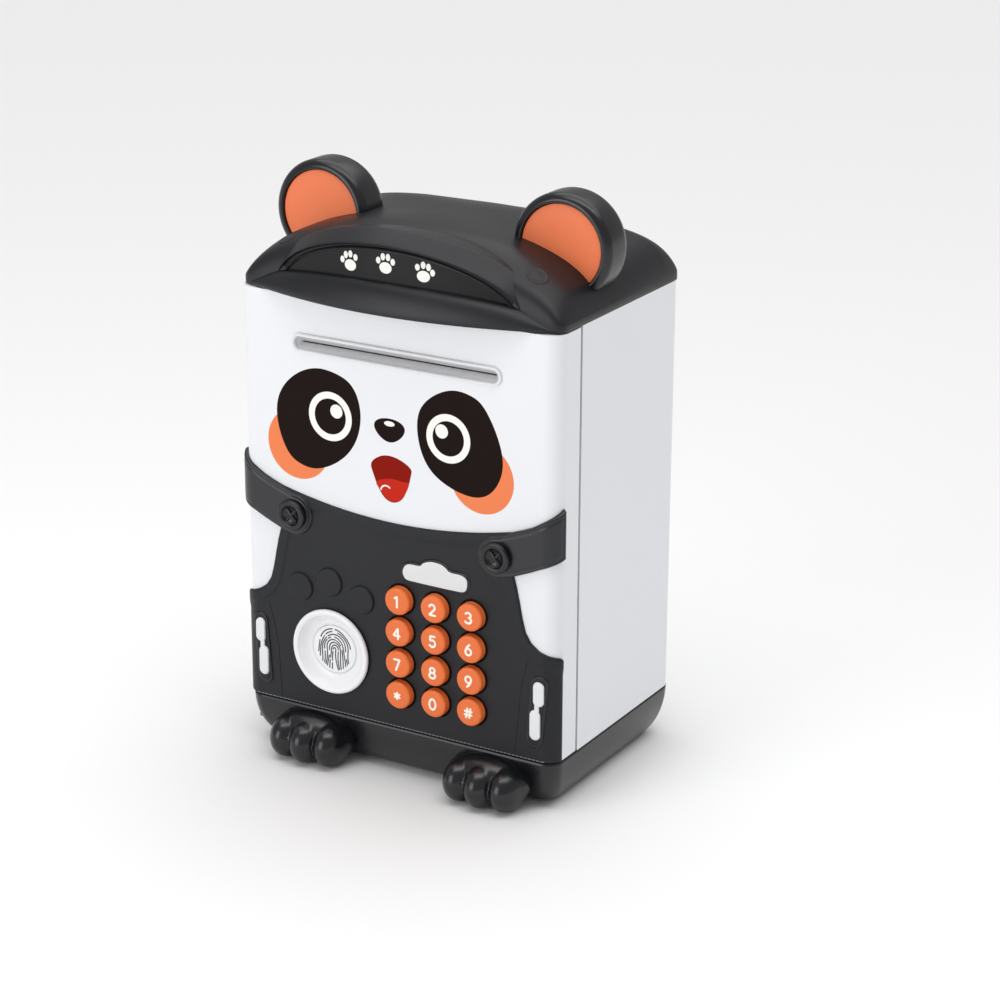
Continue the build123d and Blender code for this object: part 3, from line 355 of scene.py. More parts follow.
print_layer("nose", np.stack([nose_s, NOSE_Z + 4.6 * np.sin(angle)], -1), 0.035, patch_ink)
nose_glint = np.stack([NOSE_S + 2.3 * np.cos(angle), NOSE_Z + 2.6 + 1.0 * np.sin(angle)], -1)
print_layer("nose_glint", nose_glint, 0.05, white_ink)
mouth = [(-10.5, 125.8), (-7.2, 128.9), (-3.0, 130.1), (2.2, 129.3), (7.0, 126.6), (7.0, 123.6),
         (5.6, 118.6), (3.2, 114.0), (-0.3, 112.0), (-4.0, 112.8), (-7.0, 116.3), (-9.2, 121.2)]
print_layer("mouth", through(mouth), 0.035, mouth_ink)
tongue = [(-8.3, 118.7), (-5.4, 120.4), (-1.3, 121.2), (3.0, 120.9), (6.1, 120.6), (5.2, 117.6),
          (2.9, 114.0), (-0.3, 112.4), (-3.8, 113.2), (-6.6, 116.2)]
print_layer("tongue", through(tongue), 0.05, tongue_ink)


def ribbon(line, half, lift, place, taper=False):
    """Rounded stroke along a (n, 2) line: place(a, b, h) puts each of its corners.

    The half width is half * sqrt(1 - u * u) over round ends of length half, or, tapering,
    half * sin of the share of the way.
    """
    line = np.array(line, float)
    run = np.concatenate([[0], np.cumsum(np.linalg.norm(np.diff(line, axis=0), axis=1))])
    step = min(0.25, run[-1] / 12)
    at = np.arange(0, run[-1] + step / 2, step).clip(max=run[-1])
    mid = np.stack([np.interp(at, run, line[:, k]) for k in (0, 1)], -1)
    way = np.gradient(mid, axis=0)
    way /= np.linalg.norm(way, axis=1)[:, None]
    wide = np.full(len(mid), half)
    if taper:
        wide = half * (0.06 + 0.94 * np.sin(np.linspace(0, math.pi, len(mid))))
    else:
        u = np.array([0.98, 0.8, 0.5])
        before = mid[0] - way[0] * half * u[:, None]
        after = mid[-1] + way[-1] * half * u[::-1, None]
        mid = np.concatenate([before, mid, after])
        way = np.concatenate([way[:1].repeat(3, 0), way, way[-1:].repeat(3, 0)])
        wide = np.concatenate([half * np.sqrt(1 - u ** 2), wide, half * np.sqrt(1 - u[::-1] ** 2)])
    normal = np.stack([-way[:, 1], way[:, 0]], -1) * wide[:, None]
    climb = lift * np.linspace(1, 1.25, len(mid))
    corners = []
    for edge, h in ((-1, 0 * climb), (-1, climb), (1, climb), (1, 0 * climb)):
        corners.append(place(*(mid + edge * normal).T, h))
    return ring_solid(np.array(corners).transpose(1, 0, 2))


def bow_line(s, z, rs, rz, start, stop, count=24):
    """Elliptic arc as points, angles in degrees."""
    a = np.radians(np.linspace(start, stop, count))
    return np.stack([s + rs * np.cos(a), z + rz * np.sin(a)], -1)


tongue_shine = bow_line(-3.9, 115.9, 2.3, 2.2, 172, 45)
points, faces = ribbon(tongue_shine, 0.3, 0.015, lambda a, b, h: wrap(a, b, 0.05 + h))
mesh_piece("tongue_glint", points, faces, "door", white_ink, smooth=False)

# --- Bill slot -----------------------------------------------------------------------------
# A glossy white bezel snapped into the door, with a raised rounded rim; behind it the throat
# falls away to the rollers.

BEZEL_LOW, BEZEL_HIGH = (np.array(c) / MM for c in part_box("bill_slot_bezel"))
bezel_mid = (BEZEL_LOW + BEZEL_HIGH) / 2
bezel_half = (BEZEL_HIGH - BEZEL_LOW) / 2


def stadium(s, z, half_l, half_h, count=96, upright=False):
    """Slot outline: two half circles of radius half_h joined by straight sides."""
    a = np.linspace(0, 2 * math.pi, count, endpoint=False) + 1e-4
    along = np.sign(np.cos(a)) * (half_l - half_h) + half_h * np.cos(a)
    over = half_h * np.sin(a)
    return np.stack([s + over, z - along] if upright else [s + along, z + over], -1)


def tube(rings):
    """Closed surface through rings, (n, m, 3), whose last ring joins the first."""
    n, m = rings.shape[:2]
    r, c = np.meshgrid(np.arange(n), np.arange(m), indexing="ij")
    down, nxt = (r + 1) % n, (c + 1) % m
    quads = np.stack([r * m + c, r * m + nxt, down * m + nxt, down * m + c], -1)
    return rings.reshape(-1, 3), quads.reshape(-1, 4).tolist()


def frame_rings(section):
    """Closed tube round a slot: section lists (inset from the outer edge, depth off the face)."""
    rings = []
    for inset, depth in section:
        line = stadium(bezel_mid[0], bezel_mid[2], bezel_half[0] - inset, bezel_half[2] - inset)
        rings.append(wrap(line[:, 0], line[:, 1], depth))
    return np.array(rings)


bezel_section = [(1.45, -2.2), (0.9, -2.2), (0.9, -0.05), (0.0, 0.02), (0.05, 0.5), (0.3, 0.88),
                 (0.7, 1.0), (1.1, 0.9), (1.38, 0.55), (1.45, 0.0)]
trim_white = moulded("moulded_white_trim", "#E6E7EA", 0.28, grain=0.8, depth=0.003, tint=0.01)
points, faces = tube(frame_rings(bezel_section))
mesh_piece("bill_slot_rim", points, faces, "door", trim_white, ["bill_slot_bezel"])
throat_grey = moulded("moulded_grey_throat", "#C4C4C6", 0.5, depth=0.004, tint=0.03)
throat_section = [(1.4, -0.3), (2.2, -1.2), (3.62, -2.2), (3.62, -2.9), (2.2, -2.2), (1.2, -0.5)]
points, faces = tube(frame_rings(throat_section))
mesh_piece("bill_slot_throat", points, faces, "door", throat_grey)

# --- Apron ---------------------------------------------------------------------------------
# Charcoal ABS overlay with a leathery satin skin, heat-staked to the door. Its border is a
# raised hem, and two strap ends with buttons lie over it.

APRON_H = 1.2
DISH_X, DISH_Z = -28.75, 46.6
SIDE_S = FLAT_S + 8.8
APRON_LOW_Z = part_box("apron_panel")[0].z / MM
charcoal_abs = moulded("leather_grained_charcoal_abs", "#1B1C20", 0.46, grain=0.7, depth=0.02,
                       shine=0.3, tint=0.05)


def slab(top, bottom, keep=None):
    """Closed plate between two equal (rows, columns, 3) grids.

    keep marks the quads that stay, so that False ones leave a hole; a wall stands on each
    quad edge that has no kept neighbour.
    """
    rows, columns = top.shape[:2]
    keep = np.ones((rows - 1, columns - 1), bool) if keep is None else keep
    around = np.pad(keep, 1)
    r, c = np.nonzero(keep)
    a = r * columns + c
    b, d, e = a + 1, a + columns, a + columns + 1
    under = rows * columns
    faces = [np.stack([a, b, e, d], -1), np.stack([d, e, b, a], -1) + under]
    for step_r, step_c, p, q in ((-1, 0, a, b), (0, 1, b, e), (1, 0, e, d), (0, -1, d, a)):
        bare = ~around[r + 1 + step_r, c + 1 + step_c]
        faces.append(np.stack([q, p, p + under, q + under], -1)[bare])
    faces = np.concatenate(faces)
    used, faces = np.unique(faces, return_inverse=True)
    points = np.concatenate([top.reshape(-1, 3), bottom.reshape(-1, 3)])[used]
    return points, faces.reshape(-1, 4).tolist()


def waist(s):
    """Height of the apron's upper edge: 103.9 + 0.00242 s^2, a slack curve between the straps."""
    return 103.9 + 0.00242 * s ** 2


def bib_half_width(z):
    """Half width of the bib at height z: full to the shoulders, then a soft step in to the waist."""
    levels = [APRON_LOW_Z, 61.8, 62.6, 63.3, 64.3, 65.6, 68.0, 71.8, 77.0, 82.0, 88.0, 92.8, 104.0]
    halves = [SIDE_S, SIDE_S, 71.0, 68.5, 65.6, 62.4, 59.0, 56.6, 55.2, 54.2, 52.9, 51.6, 50.0]
    return np.interp(z, levels, halves)


def distance_to(line, points):
    """Shortest distance from each point to a closed polyline, by projecting on its segments."""
    start, end = line, np.roll(line, -1, axis=0)
    run = end - start
    flat = points.reshape(-1, 1, 2)
    t = np.clip(((flat - start) * run).sum(-1) / np.maximum((run ** 2).sum(-1), 1e-9), 0, 1)
    return np.linalg.norm(flat - (start + t[..., None] * run), axis=-1).min(1).reshape(points.shape[:-1])


def eased(count, edge):
    """Positions 0 to 1 with extra lines close to both ends, edge being the first share."""
    inner = np.linspace(edge, 1 - edge, count)
    ends = np.array([0, 0.25, 0.55]) * edge
    return np.concatenate([ends, inner, 1 - ends[::-1]])


rows = eased(150, 0.010)[:, None]
columns = (2 * eased(230, 0.006) - 1)[None, :]
level = APRON_LOW_Z + rows * (waist(0) - APRON_LOW_Z)
bib_s = columns * bib_half_width(level)
top_blend = np.clip((rows - 0.86) / 0.14, 0, 1)
bib_z = level + (waist(bib_s) - waist(0)) * top_blend ** 2 * (3 - 2 * top_blend)
bib_plan = np.stack([bib_s, bib_z], -1)
bib_rim = np.concatenate([bib_plan[0], bib_plan[:, -1], bib_plan[-1, ::-1], bib_plan[::-1, 0]])
edge_gap = distance_to(bib_rim, bib_plan)
hem = np.clip((4.75 - edge_gap) / 0.5, 0, 1) * np.clip((bib_z - 56) / 3, 0, 1)
bib_h = 0.02 + (APRON_H - 0.38) * np.sqrt(1 - (1 - np.clip(edge_gap / 0.7, 0, 1)) ** 2) + 0.36 * hem
quad_s = (bib_s[:-1, :-1] + bib_s[1:, 1:]) / 2
quad_z = (bib_z[:-1, :-1] + bib_z[1:, 1:]) / 2
outside_dish = np.hypot(quad_s - DISH_X, quad_z - DISH_Z) > 16.4
points, faces = slab(wrap(bib_s, bib_z, bib_h), wrap(bib_s, bib_z, -0.02), outside_dish)
mesh_piece("apron", points, faces, "door", charcoal_abs, ["apron_panel"])

strap_black = moulded("moulded_satin_strap_abs", "#1A1B1F", 0.33, grain=0.6, depth=0.006, tint=0.04)
BUTTON_S = 45.0
STRAP_Z = 99.7
STRAP_END_R = 8.4
for side, out in (("left", -1), ("right", 1)):
    along = np.concatenate([-STRAP_END_R * np.cos(np.linspace(0, math.pi / 2, 18)),
                            np.linspace(0, SIDE_S - BUTTON_S, 60)[1:]])
    run = BUTTON_S + along
    cap = np.sqrt(np.maximum(0, STRAP_END_R ** 2 - np.minimum(along, 0) ** 2))
    upper = np.where(along < 0, STRAP_Z + cap, np.interp(run, [45, 50, 55, 59, 65, SIDE_S],
                                                       [108.1, 109.9, 111.7, 113.4, 117.0, 121.0]))
    lower = np.where(along < 0, STRAP_Z - cap, np.interp(run, [45, 51, 58, 64, SIDE_S],
                                                       [91.3, 92.7, 95.5, 98.3, 101.6]))
    share = eased(36, 0.03)[:, None]
    strap_s = out * np.broadcast_to(run, (len(share), len(run)))
    strap_z = lower + share * (upper - lower)
    strap_plan = np.stack([strap_s, strap_z], -1)
    gap = distance_to(np.concatenate([strap_plan[0], strap_plan[-1, ::-1]]), strap_plan)
    strap_h = 0.05 + 1.75 * np.sqrt(1 - (1 - np.clip(gap / 0.8, 0, 1)) ** 2)
    strap_h = strap_h - 0.3 * np.exp(-((gap - 1.5) / 0.4) ** 2)
    points, faces = slab(wrap(strap_s, strap_z, strap_h), wrap(strap_s, strap_z, 0.0))
    mesh_piece(f"{side}_strap", points, faces, "door", strap_black)


def turned_rings(centre, profile, count):
    """Rings round a line along Y through centre (x, z), one for each (r, y) of the profile."""
    a = np.linspace(0, 2 * math.pi, count, endpoint=False)
    r, y = np.array(profile, float).T[:, :, None]
    return np.stack([centre[0] + r * np.cos(a), y + 0 * a, centre[1] + r * np.sin(a)], -1)


def turned(centre, profile, count=96):
    """Closed surface of revolution; flat fans close the profile's first and last rings."""
    return ring_solid(turned_rings(centre, profile, count))


def arc_profile(r, y, radius, start, stop, count=7):
    """Quarter-round points about (r, y) between two angles in degrees, for a turned profile."""
    return [(r + radius * math.cos(math.radians(a)), y + radius * math.sin(math.radians(a)))
            for a in np.linspace(start, stop, count)]


button_black = moulded("moulded_button_black", "#141518", 0.25, grain=0.5, depth=0.008, shine=0.45, tint=0.04)
for side, button_x in (("left", -BUTTON_S), ("right", BUTTON_S)):
    face_y = FRONT_Y - 1.8
    profile = ([(6.1, face_y + 0.3)] + arc_profile(5.3, face_y - 1.5, 0.8, 0, -90)
               + [(4.7, face_y - 2.3)] + arc_profile(4.3, face_y - 1.9, 0.4, -90, -180, 4)[1:]
               + [(3.6, face_y - 1.25), (0.8, face_y - 1.2)])
    points, faces = turned((button_x, STRAP_Z), profile)
    mesh_piece(f"{side}_button", points, faces, "door", button_black,
               [f"{side}_strap_button"])
    for number, lean in enumerate((48, 132)):
        t = np.linspace(-1, 1, 17)
        a = np.linspace(0, 2 * math.pi, 12, endpoint=False)
        spine = 3.4 * t[:, None]
        thick = 0.72 * np.sqrt(np.maximum(0.02, 1 - np.abs(t) ** 6))[:, None]
        cross = thick * np.cos(a)
        x = button_x + spine * math.cos(math.radians(lean)) - cross * math.sin(math.radians(lean))
        z = STRAP_Z + spine * math.sin(math.radians(lean)) + cross * math.cos(math.radians(lean))
        y = face_y - 1.25 - 0.25 * number * np.exp(-(spine / 1.6) ** 2) - thick * 0.75 * np.sin(a)
        points, faces = ring_solid(np.stack([x, y, z], -1))
        mesh_piece(f"{side}_button_stitch_{number}", points, faces, "door", button_black)

# --- Paw print, cloud window and pockets on the apron --------------------------------------
# Three raised toe beans over the scanner, a milky window for the lamp, and two white slots
# that look like pockets near the door's edges.

for number, (s, z) in enumerate([(-42.9, 70.4), (-29.4, 74.8), (-15.0, 70.4)]):
    points, faces = blob(circle(s, z, 5.8), 0.6, APRON_H + 0.55, rounding=0.6)
    mesh_piece(f"toe_bean_{number}", points, faces, "door", charcoal_abs)


cloud_line = [(3.6, 85.9), (4.6, 88.3), (6.8, 89.4), (11.3, 89.6), (13.1, 91.1), (16.3, 92.2),
              (20.3, 92.1), (22.9, 91.0), (24.9, 89.6), (29.6, 89.4), (32.0, 88.3), (32.5, 86.6),
              (32.2, 84.2), (30.6, 82.7), (26.0, 82.5), (18.0, 82.5), (10.0, 82.6), (5.6, 82.8),
              (4.1, 84.0)]


def cloud(grow):
    """Cloud outline about its middle, grown outwards by grow mm along its normals."""
    line = through(cloud_line, 1, 1.0, 190)
    way = np.roll(line, -1, axis=0) - np.roll(line, 1, axis=0)
    normal = np.stack([way[:, 1], -way[:, 0]], -1) / np.linalg.norm(way, axis=1)[:, None]
    return line - grow * normal


points, faces = blob(cloud(0.9), 0.6, APRON_H + 0.15, rounding=0.5)
mesh_piece("cloud_rim", points, faces, "door", button_black)
milky = moulded("milky_window_polycarbonate", "#E0E0E1", 0.3, grain=0.8, depth=0.003, tint=0.01)
points, faces = blob(cloud(0), 0.6, APRON_H + 0.3, rounding=0.25)
mesh_piece("cloud_window", points, faces, "door", milky, ["cloud_lens"])

POCKET_Z = 41.4
pocket_bars = ((48.8, 5.2, 2.1, 0.85), (36.2, 6.3, 2.2, 0.85), (43.0, 3.0, 1.1, 0.5))
for side, slot_s, out in (("left", -60.9, -1), ("right", 62.0, 1)):
    layers = (("edge", 0.8, 0.12, button_black, []),
              ("bed", 0.0, 0.18, charcoal_abs, [f"{side}_pocket_lens"]))
    for name, grow, high, material, taken in layers:
        pocket = stadium(slot_s, POCKET_Z, 13.9 + grow, 2.5 + grow, upright=True)
        pocket[:, 0] += out * 0.075 * (pocket[:, 1] - POCKET_Z)
        points, faces = blob(pocket, 0.6, APRON_H + high, rounding=0.4)
        mesh_piece(f"{side}_pocket_{name}", points, faces, "door", material, taken)
    for number, (z, half, wide, high) in enumerate(pocket_bars):
        bar = stadium(slot_s + out * 0.1 * (z - POCKET_Z), z, half, wide, upright=True)
        points, faces = blob(bar, 0.6, APRON_H + high, rounding=0.8)
        mesh_piece(f"{side}_pocket_bar_{number}", points, faces, "door", trim_white)


def joined(solids):
    """Vertices and faces of several solids as one list."""
    points, faces, shift = [], [], 0
    for more_points, more_faces in solids:
        points.append(more_points)
        faces += [[v + shift for v in face] for face in more_faces]
        shift += len(more_points)
    return np.concatenate(points), faces


thread_grey = moulded("moulded_stitch_grey", "#85888D", 0.5, depth=0.004)
stitches = []
stitch_z = APRON_LOW_Z + 0.7
for s0 in np.arange(-64, 64, 1.75):
    stitches.append(ribbon([(s0, stitch_z), (s0 + 1.0, stitch_z)], 0.16, 0.12,
                           lambda a, b, h: wrap(a, b, APRON_H - 0.32 + h)))
points, faces = joined(stitches)
mesh_piece("hem_stitches", points, faces, "door", thread_grey)
# Dark tapering lines down the apron beside the pockets: a low ridge whose darker black is painted shade of
# the step there.
painted_crease_shade = np.array([(57.9, 61.2), (55.6, 53.0), (54.2, 44.0), (53.6, 36.0), (52.7, 22.0)])
for side, out in (("left", -1), ("right", 1)):
    points, faces = ribbon(painted_crease_shade * (out, 1), 0.28, 0.16,
                           lambda a, b, h: wrap(a, b, APRON_H - 0.36 + h), taper=True)
    mesh_piece(f"{side}_crease", points, faces, "door", button_black)

# --- Scanner dish and pad ------------------------------------------------------------------
# A turned white bowl with a rolled rim; the pad in its floor is the button, printed with the
# grey lines of a thumb.

dish_white = moulded("moulded_white_dish", "#F1F1F3", 0.28, grain=0.8, depth=0.003, tint=0.01)
apron_y = FRONT_Y - APRON_H
profile = ([(9.78, apron_y + 5.0), (15.8, apron_y + 5.0), (15.85, apron_y - 0.3),
            (17.1, apron_y - 0.35)]
           + arc_profile(16.1, apron_y - 0.75, 1.0, 0, -110)
           + arc_profile(15.2, apron_y - 1.05, 0.45, -70, -170, 5)
           + [(14.2, apron_y - 0.5), (13.4, apron_y + 0.5), (12.2, apron_y + 1.5), (10.9, apron_y + 2.1),
              (9.85, apron_y + 2.2), (9.78, apron_y + 2.6)])
points, faces = tube(turned_rings((DISH_X, DISH_Z), profile, 128))
mesh_piece("scanner_bowl", points, faces, "door", dish_white, ["scanner_dish"])
pad_y = apron_y + 1.95
profile = [(9.6, pad_y + 4.0), (9.7, pad_y + 0.3), (9.64, pad_y + 0.08), (9.4, pad_y), (5, pad_y),
           (0.5, pad_y)]
points, faces = turned((DISH_X, DISH_Z), profile)
mesh_piece("scanner_pad_cap", points, faces, "scanner_button", dish_white, ["scanner_pad"])


def on_pad(a, b, h):
    """Point that stands h off the pad's face."""
    return np.stack([DISH_X + a, pad_y - h + 0 * a, DISH_Z + b], -1)


ridge_ink = ink("print_grey_ridge", "#4E5052")
rng = np.random.default_rng(7)
ridges = []
sweep = np.linspace(0, math.pi, 80)
leg = np.linspace(0, 9, 35)[1:]
for ring in range(9):
    r = 0.6 + 0.95 * ring
    flare = r + 0.012 * leg ** 2
    right_leg = np.stack([flare[::-1], -leg[::-1]], -1)
    arch = np.stack([r * np.cos(sweep), 1.15 * r * np.sin(sweep)], -1)
    line = np.concatenate([right_leg, arch, np.stack([-flare, -leg], -1)])
    line[:, 0] += 0.25 * np.sin(0.5 * line[:, 1] + ring)
    keep = (line[:, 0] / 7.7) ** 2 + (line[:, 1] / 8.4) ** 2 < 1
    for cut in rng.uniform(0, len(line), 3 + ring // 2):
        keep &= np.abs(np.arange(len(line)) - cut) > 1.6
    ends = np.flatnonzero(np.diff(np.concatenate([[0], keep.astype(int), [0]])))
    for first, last in zip(ends[::2], ends[1::2]):
        if last - first > 5:
            ridges.append(ribbon(line[first:last], 0.24, 0.05, on_pad))
points, faces = joined(ridges)
mesh_piece("thumb_print", points, faces, "scanner_button", ridge_ink, smooth=False)

# --- Keypad --------------------------------------------------------------------------------
# Twelve glossy orange caps, softly crowned with a rolled edge, that stand in wells lined with
# near-black as painted shade. Each carries one white numeral or sign, pad-printed.

key_orange = moulded("moulded_orange_key", "#EB7336", 0.36, grain=0.5, depth=0.006, shine=0.4, tint=0.03)
legend_ink = ink("print_legend_white", "#FFF6EC")
# Near-black matt lining of the key wells: painted shade round each cap.
well_shade_black = moulded("matt_key_well_painted_shade", "#070708", 0.7, depth=0.006, shine=0.1)
lower_loop, upper_loop = bow_line(0, -0.8, 1.25, 1.3, 90, 450), bow_line(0, 0.8, 1.25, 1.3, 90, 450)
strokes = {
    "1": [[(-0.75, 1.4), (0.25, 2.1), (0.25, -2.1)]],
    "2": [[*bow_line(0, 0.95, 1.2, 1.15, 165, -35), (-1.2, -2.1), (1.35, -2.1)]],
    "3": [[*bow_line(-0.1, 1.05, 1.15, 1.05, 150, -80), *bow_line(-0.1, -0.95, 1.35, 1.15, 80, -150)]],
    "4": [[(0.6, -2.1), (0.6, 2.1), (-1.35, -0.9), (1.4, -0.9)]],
    "5": [[(1.1, 2.1), (-0.8, 2.1), (-0.95, 0.3), *bow_line(0, -0.75, 1.3, 1.35, 125, -145)]],
    "6": [lower_loop, [(-1.2, -0.6), (-0.7, 0.9), (0.5, 2.1)]],
    "7": [[(-1.25, 2.1), (1.25, 2.1), (-0.4, -2.1)]],
    "8": [bow_line(0, 1.1, 1.05, 1.0, 90, 450), bow_line(0, -0.98, 1.3, 1.12, 90, 450)],
    "9": [upper_loop, [(1.2, 0.6), (0.7, -0.9), (-0.5, -2.1)]],
    "star": [bow_line(0, 0, 1.25, 1.25, turn, turn + 180, 2) for turn in (30, 90, 150)],
    "0": [bow_line(0, 0, 1.35, 2.1, 90, 450)],
    "hash": [[(-0.9, -1.8), (-0.4, 1.8)], [(0.45, -1.8), (0.95, 1.8)],
             [(-1.5, -0.7), (1.4, -0.7)], [(-1.4, 0.7), (1.5, 0.7)]],
}
for name, lines in strokes.items():
    low, high = (np.array(c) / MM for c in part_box(f"key_{name}"))
    x, z, front = (low[0] + high[0]) / 2, (low[2] + high[2]) / 2, low[1]
    profile = ([(6.1, front + 7.5), (6.1, front + 6.5), (5.45, front + 6.4), (5.45, front + 1.1)]
               + arc_profile(4.45, front + 1.1, 1.0, 0, -80)
               + [(4.0, front + 0.11), (3.2, front + 0.06), (2.0, front + 0.02), (0.4, front + 0.01)])
    points, faces = turned((x, z), profile, 64)
    mesh_piece(f"key_cap_{name}", points, faces, f"key_{name}", key_orange,
               [f"key_{name}"])
    well = np.array([wrap(x + r * np.cos(angle), z + r * np.sin(angle), h)
                     for r, h in ((5.6, 0.5), (6.4, 0.5), (6.35, APRON_H - 0.2), (5.6, APRON_H - 0.2))])
    points, faces = tube(well)
    mesh_piece(f"key_well_{name}", points, faces, "door", well_shade_black)
    legend = [ribbon(line, 0.42, 0.1 + 0.03 * order,
                     lambda a, b, h: np.stack([x + a, front + 0.05 - h + 0 * a, z + b], -1))
              for order, line in enumerate(lines)]
    points, faces = joined(legend)
    mesh_piece(f"legend_{name}", points, faces, f"key_{name}", legend_ink, smooth=False)

# --- Roof ----------------------------------------------------------------------------------
# Glossy black ABS moulding: a dome that rounds down to the cabinet's edges, a swelling brow
# over the sign, and a bowed visor like a cap's bill.

gloss_black = moulded("moulded_gloss_black_abs", "#121317", 0.24, grain=0.6, depth=0.004,
                      shine=0.55, tint=0.04)
satin_black = moulded("moulded_satin_black_abs", "#15161A", 0.4, grain=0.6, depth=0.006,
                      shine=0.4, tint=0.04)
ROOF_EDGE = 2.5
ROOF_RISE = 26.1
ROOF_WALL = 2.4
CREST_FRONT, CREST_BACK = -18.0, 8.0
FADE_FRONT = 24.5
PLAN_FRONT_Y = -38.0
PLAN_MID_Y = -1.5
PLAN_POWER = 26
VISOR_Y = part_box("roof_shell")[0].y / MM
BROW_Y = VISOR_Y + 4.5


def bow(x):
    """How far the visor's front edge lies behind its middle: 13.2 (x / 66)^2."""
    return 13.2 * (x / 66.0) ** 2


def dome_height(x, y, inset=0.0):
    """Dome over the plan: rise * (1 - |x / w| ^ p) ^ (1 / p) * fade(y).

    The fade is a quarter ellipse each way; p grows from 2 at the crest to 5 at the back edge,
    so that the dome is round in front and squarer behind.
    """
    half = HALF_W - inset
    forward = np.clip((CREST_FRONT - y) / (FADE_FRONT - inset), 0, 1)
    rearward = np.clip((y - CREST_BACK) / (BACK_Y - CREST_BACK - inset), 0, 1)
    power = 2 + 3 * rearward
    arch = np.maximum(0, 1 - np.abs(x / half) ** power) ** (1 / power)
    return (ROOF_RISE - inset) * arch * np.sqrt(1 - forward ** 2) * np.sqrt(1 - rearward ** 2)


def roof_rim(inset, count=360):
    """Plan of the roof: a rounded rectangle whose front edge bows forward, wound anticlockwise."""
    a = np.linspace(0, 2 * math.pi, count, endpoint=False)
    half_d = (BACK_Y - PLAN_FRONT_Y) / 2
    mid_y = (BACK_Y + PLAN_FRONT_Y) / 2
    power = 2 / PLAN_POWER
    x = (HALF_W - inset) * np.sign(np.cos(a)) * np.abs(np.cos(a)) ** power
    y = mid_y + (half_d - inset) * np.sign(np.sin(a)) * np.abs(np.sin(a)) ** power
    return x, y


def shrunk(plan, share):
    """Roof plan drawn in to a share of its size about the dome's middle."""
    x, y = plan
    return x * share, PLAN_MID_Y + (y - PLAN_MID_Y) * share


dome_rings = []
outer_plan = roof_rim(0.0)
for share in np.sin(np.linspace(0.02, 0.985, 54) * math.pi / 2):
    px, py = shrunk(outer_plan, share)
    rounding = math.sqrt(max(0.0, 1 - share ** PLAN_POWER))
    pz = ROOF_Z + ROOF_EDGE + dome_height(px, py) * rounding
    dome_rings.append(np.stack([px, py, pz], -1))
for drop in (ROOF_EDGE, ROOF_EDGE / 2, 0.0):
    px, py = outer_plan
    dome_rings.append(np.stack([px, py, np.full(len(px), ROOF_Z + drop)], -1))
inner_plan = roof_rim(ROOF_WALL)
for share in (1.0, 0.995, 0.97, 0.9, 0.8, 0.65, 0.45, 0.2):
    px, py = shrunk(inner_plan, share)
    lift = dome_height(px, py, ROOF_WALL) if share < 1 else 0 * px
    dome_rings.append(np.stack([px, py, ROOF_Z + 0.02 + lift], -1))
points, faces = ring_solid(np.array(dome_rings))
dome = mesh_piece("roof_dome", points, faces, "cabinet", satin_black, ["roof_shell"])
COIN_Y, COIN_HALF_L, COIN_HALF_W = 40.0, 17.0, 2.5
coin_line = stadium(0, COIN_Y, COIN_HALF_L, COIN_HALF_W)
cutter_rings = [np.column_stack([coin_line, np.full(len(coin_line), z)])
                for z in (ROOF_Z - 5, ROOF_Z + 45)]
points, faces = ring_solid(np.array(cutter_rings))
cutter = mesh_piece("coin_slot_cutter", points, faces, "cabinet", gloss_black)
cut = dome.modifiers.new("coin_slot", "BOOLEAN")
cut.operation, cut.object, cut.solver = "DIFFERENCE", cutter, "EXACT"
bpy.context.view_layer.update()
slotted = bpy.data.meshes.new_from_object(dome.evaluated_get(bpy.context.evaluated_depsgraph_get()))
dome.modifiers.clear()
dome.data = slotted
bpy.data.objects.remove(cutter)
PLUG_X, PLUG_Y = 53.6, -28.0
plug_profile = ((4.1, -1.0), (4.1, 0.05), (3.95, 0.16), (3.6, 0.2), (3.3, 0.17), (3.1, 0.05),
                (2.0, 0.04), (0.5, 0.04))
for side, x, taken in (("left", -PLUG_X, ["roof_plugs"]), ("right", PLUG_X, [])):
    plug_rings = []
    for r, h in plug_profile:
        px, py = x + r * np.cos(angle), PLUG_Y + r * np.sin(angle)
        plug_rings.append(np.stack([px, py, ROOF_Z + ROOF_EDGE + dome_height(px, py) + h], -1))
    points, faces = ring_solid(np.array(plug_rings))
    mesh_piece(f"{side}_roof_plug", points, faces, "cabinet", satin_black, taken)


def brow_ring(half_w, rise, y_behind):
    """Half ellipse across the front of the roof that follows the visor's bow in plan."""
    a = np.linspace(math.pi, 0, 120)
    x = half_w * np.cos(a)
    return np.stack([x, BROW_Y + bow(x) + y_behind, ROOF_Z + rise * np.sin(a)], -1)


SIGN_HALF_W, SIGN_RISE = 53.8, 24.9
brow_edge = ((-1, -1, 4.0), (0, 0, 1.6), (0.05, 0.05, 0.3), (0.2, 0.2, 0.05), (0.4, 0.35, 0.15))
brow_rings = [brow_ring(SIGN_HALF_W + wider, SIGN_RISE + higher, y_behind)
              for wider, higher, y_behind in brow_edge]
for t in np.linspace(0, 1, 9)[1:]:
    swell = 0.9 * t + 0.1 * math.sin(t * math.pi / 2)
    brow_rings.append(brow_ring(SIGN_HALF_W + 0.4 + 5.0 * swell, SIGN_RISE + 0.4 + 4.3 * swell,
                                0.2 + 7.6 * t))
for t in (0.008, 0.016, 0.05, *np.linspace(0, 1, 13)[1:]):
    brow_rings.append(brow_ring(SIGN_HALF_W + 5.4 - t - 4 * t ** 2,
                                SIGN_RISE + 4.7 - 1.5 * t - 4 * t ** 2, 7.8 + 24 * t))
brow_rings = np.array(brow_rings)
inner = brow_rings[::-1] * np.array([0.97, 1, 1]) - np.array([0, 0, 2.0])
inner[..., 2] = np.maximum(inner[..., 2], ROOF_Z + 0.3)
points, faces = ring_solid(np.concatenate([brow_rings, inner]).transpose(1, 0, 2))
mesh_piece("roof_brow", points, faces, "cabinet", satin_black)


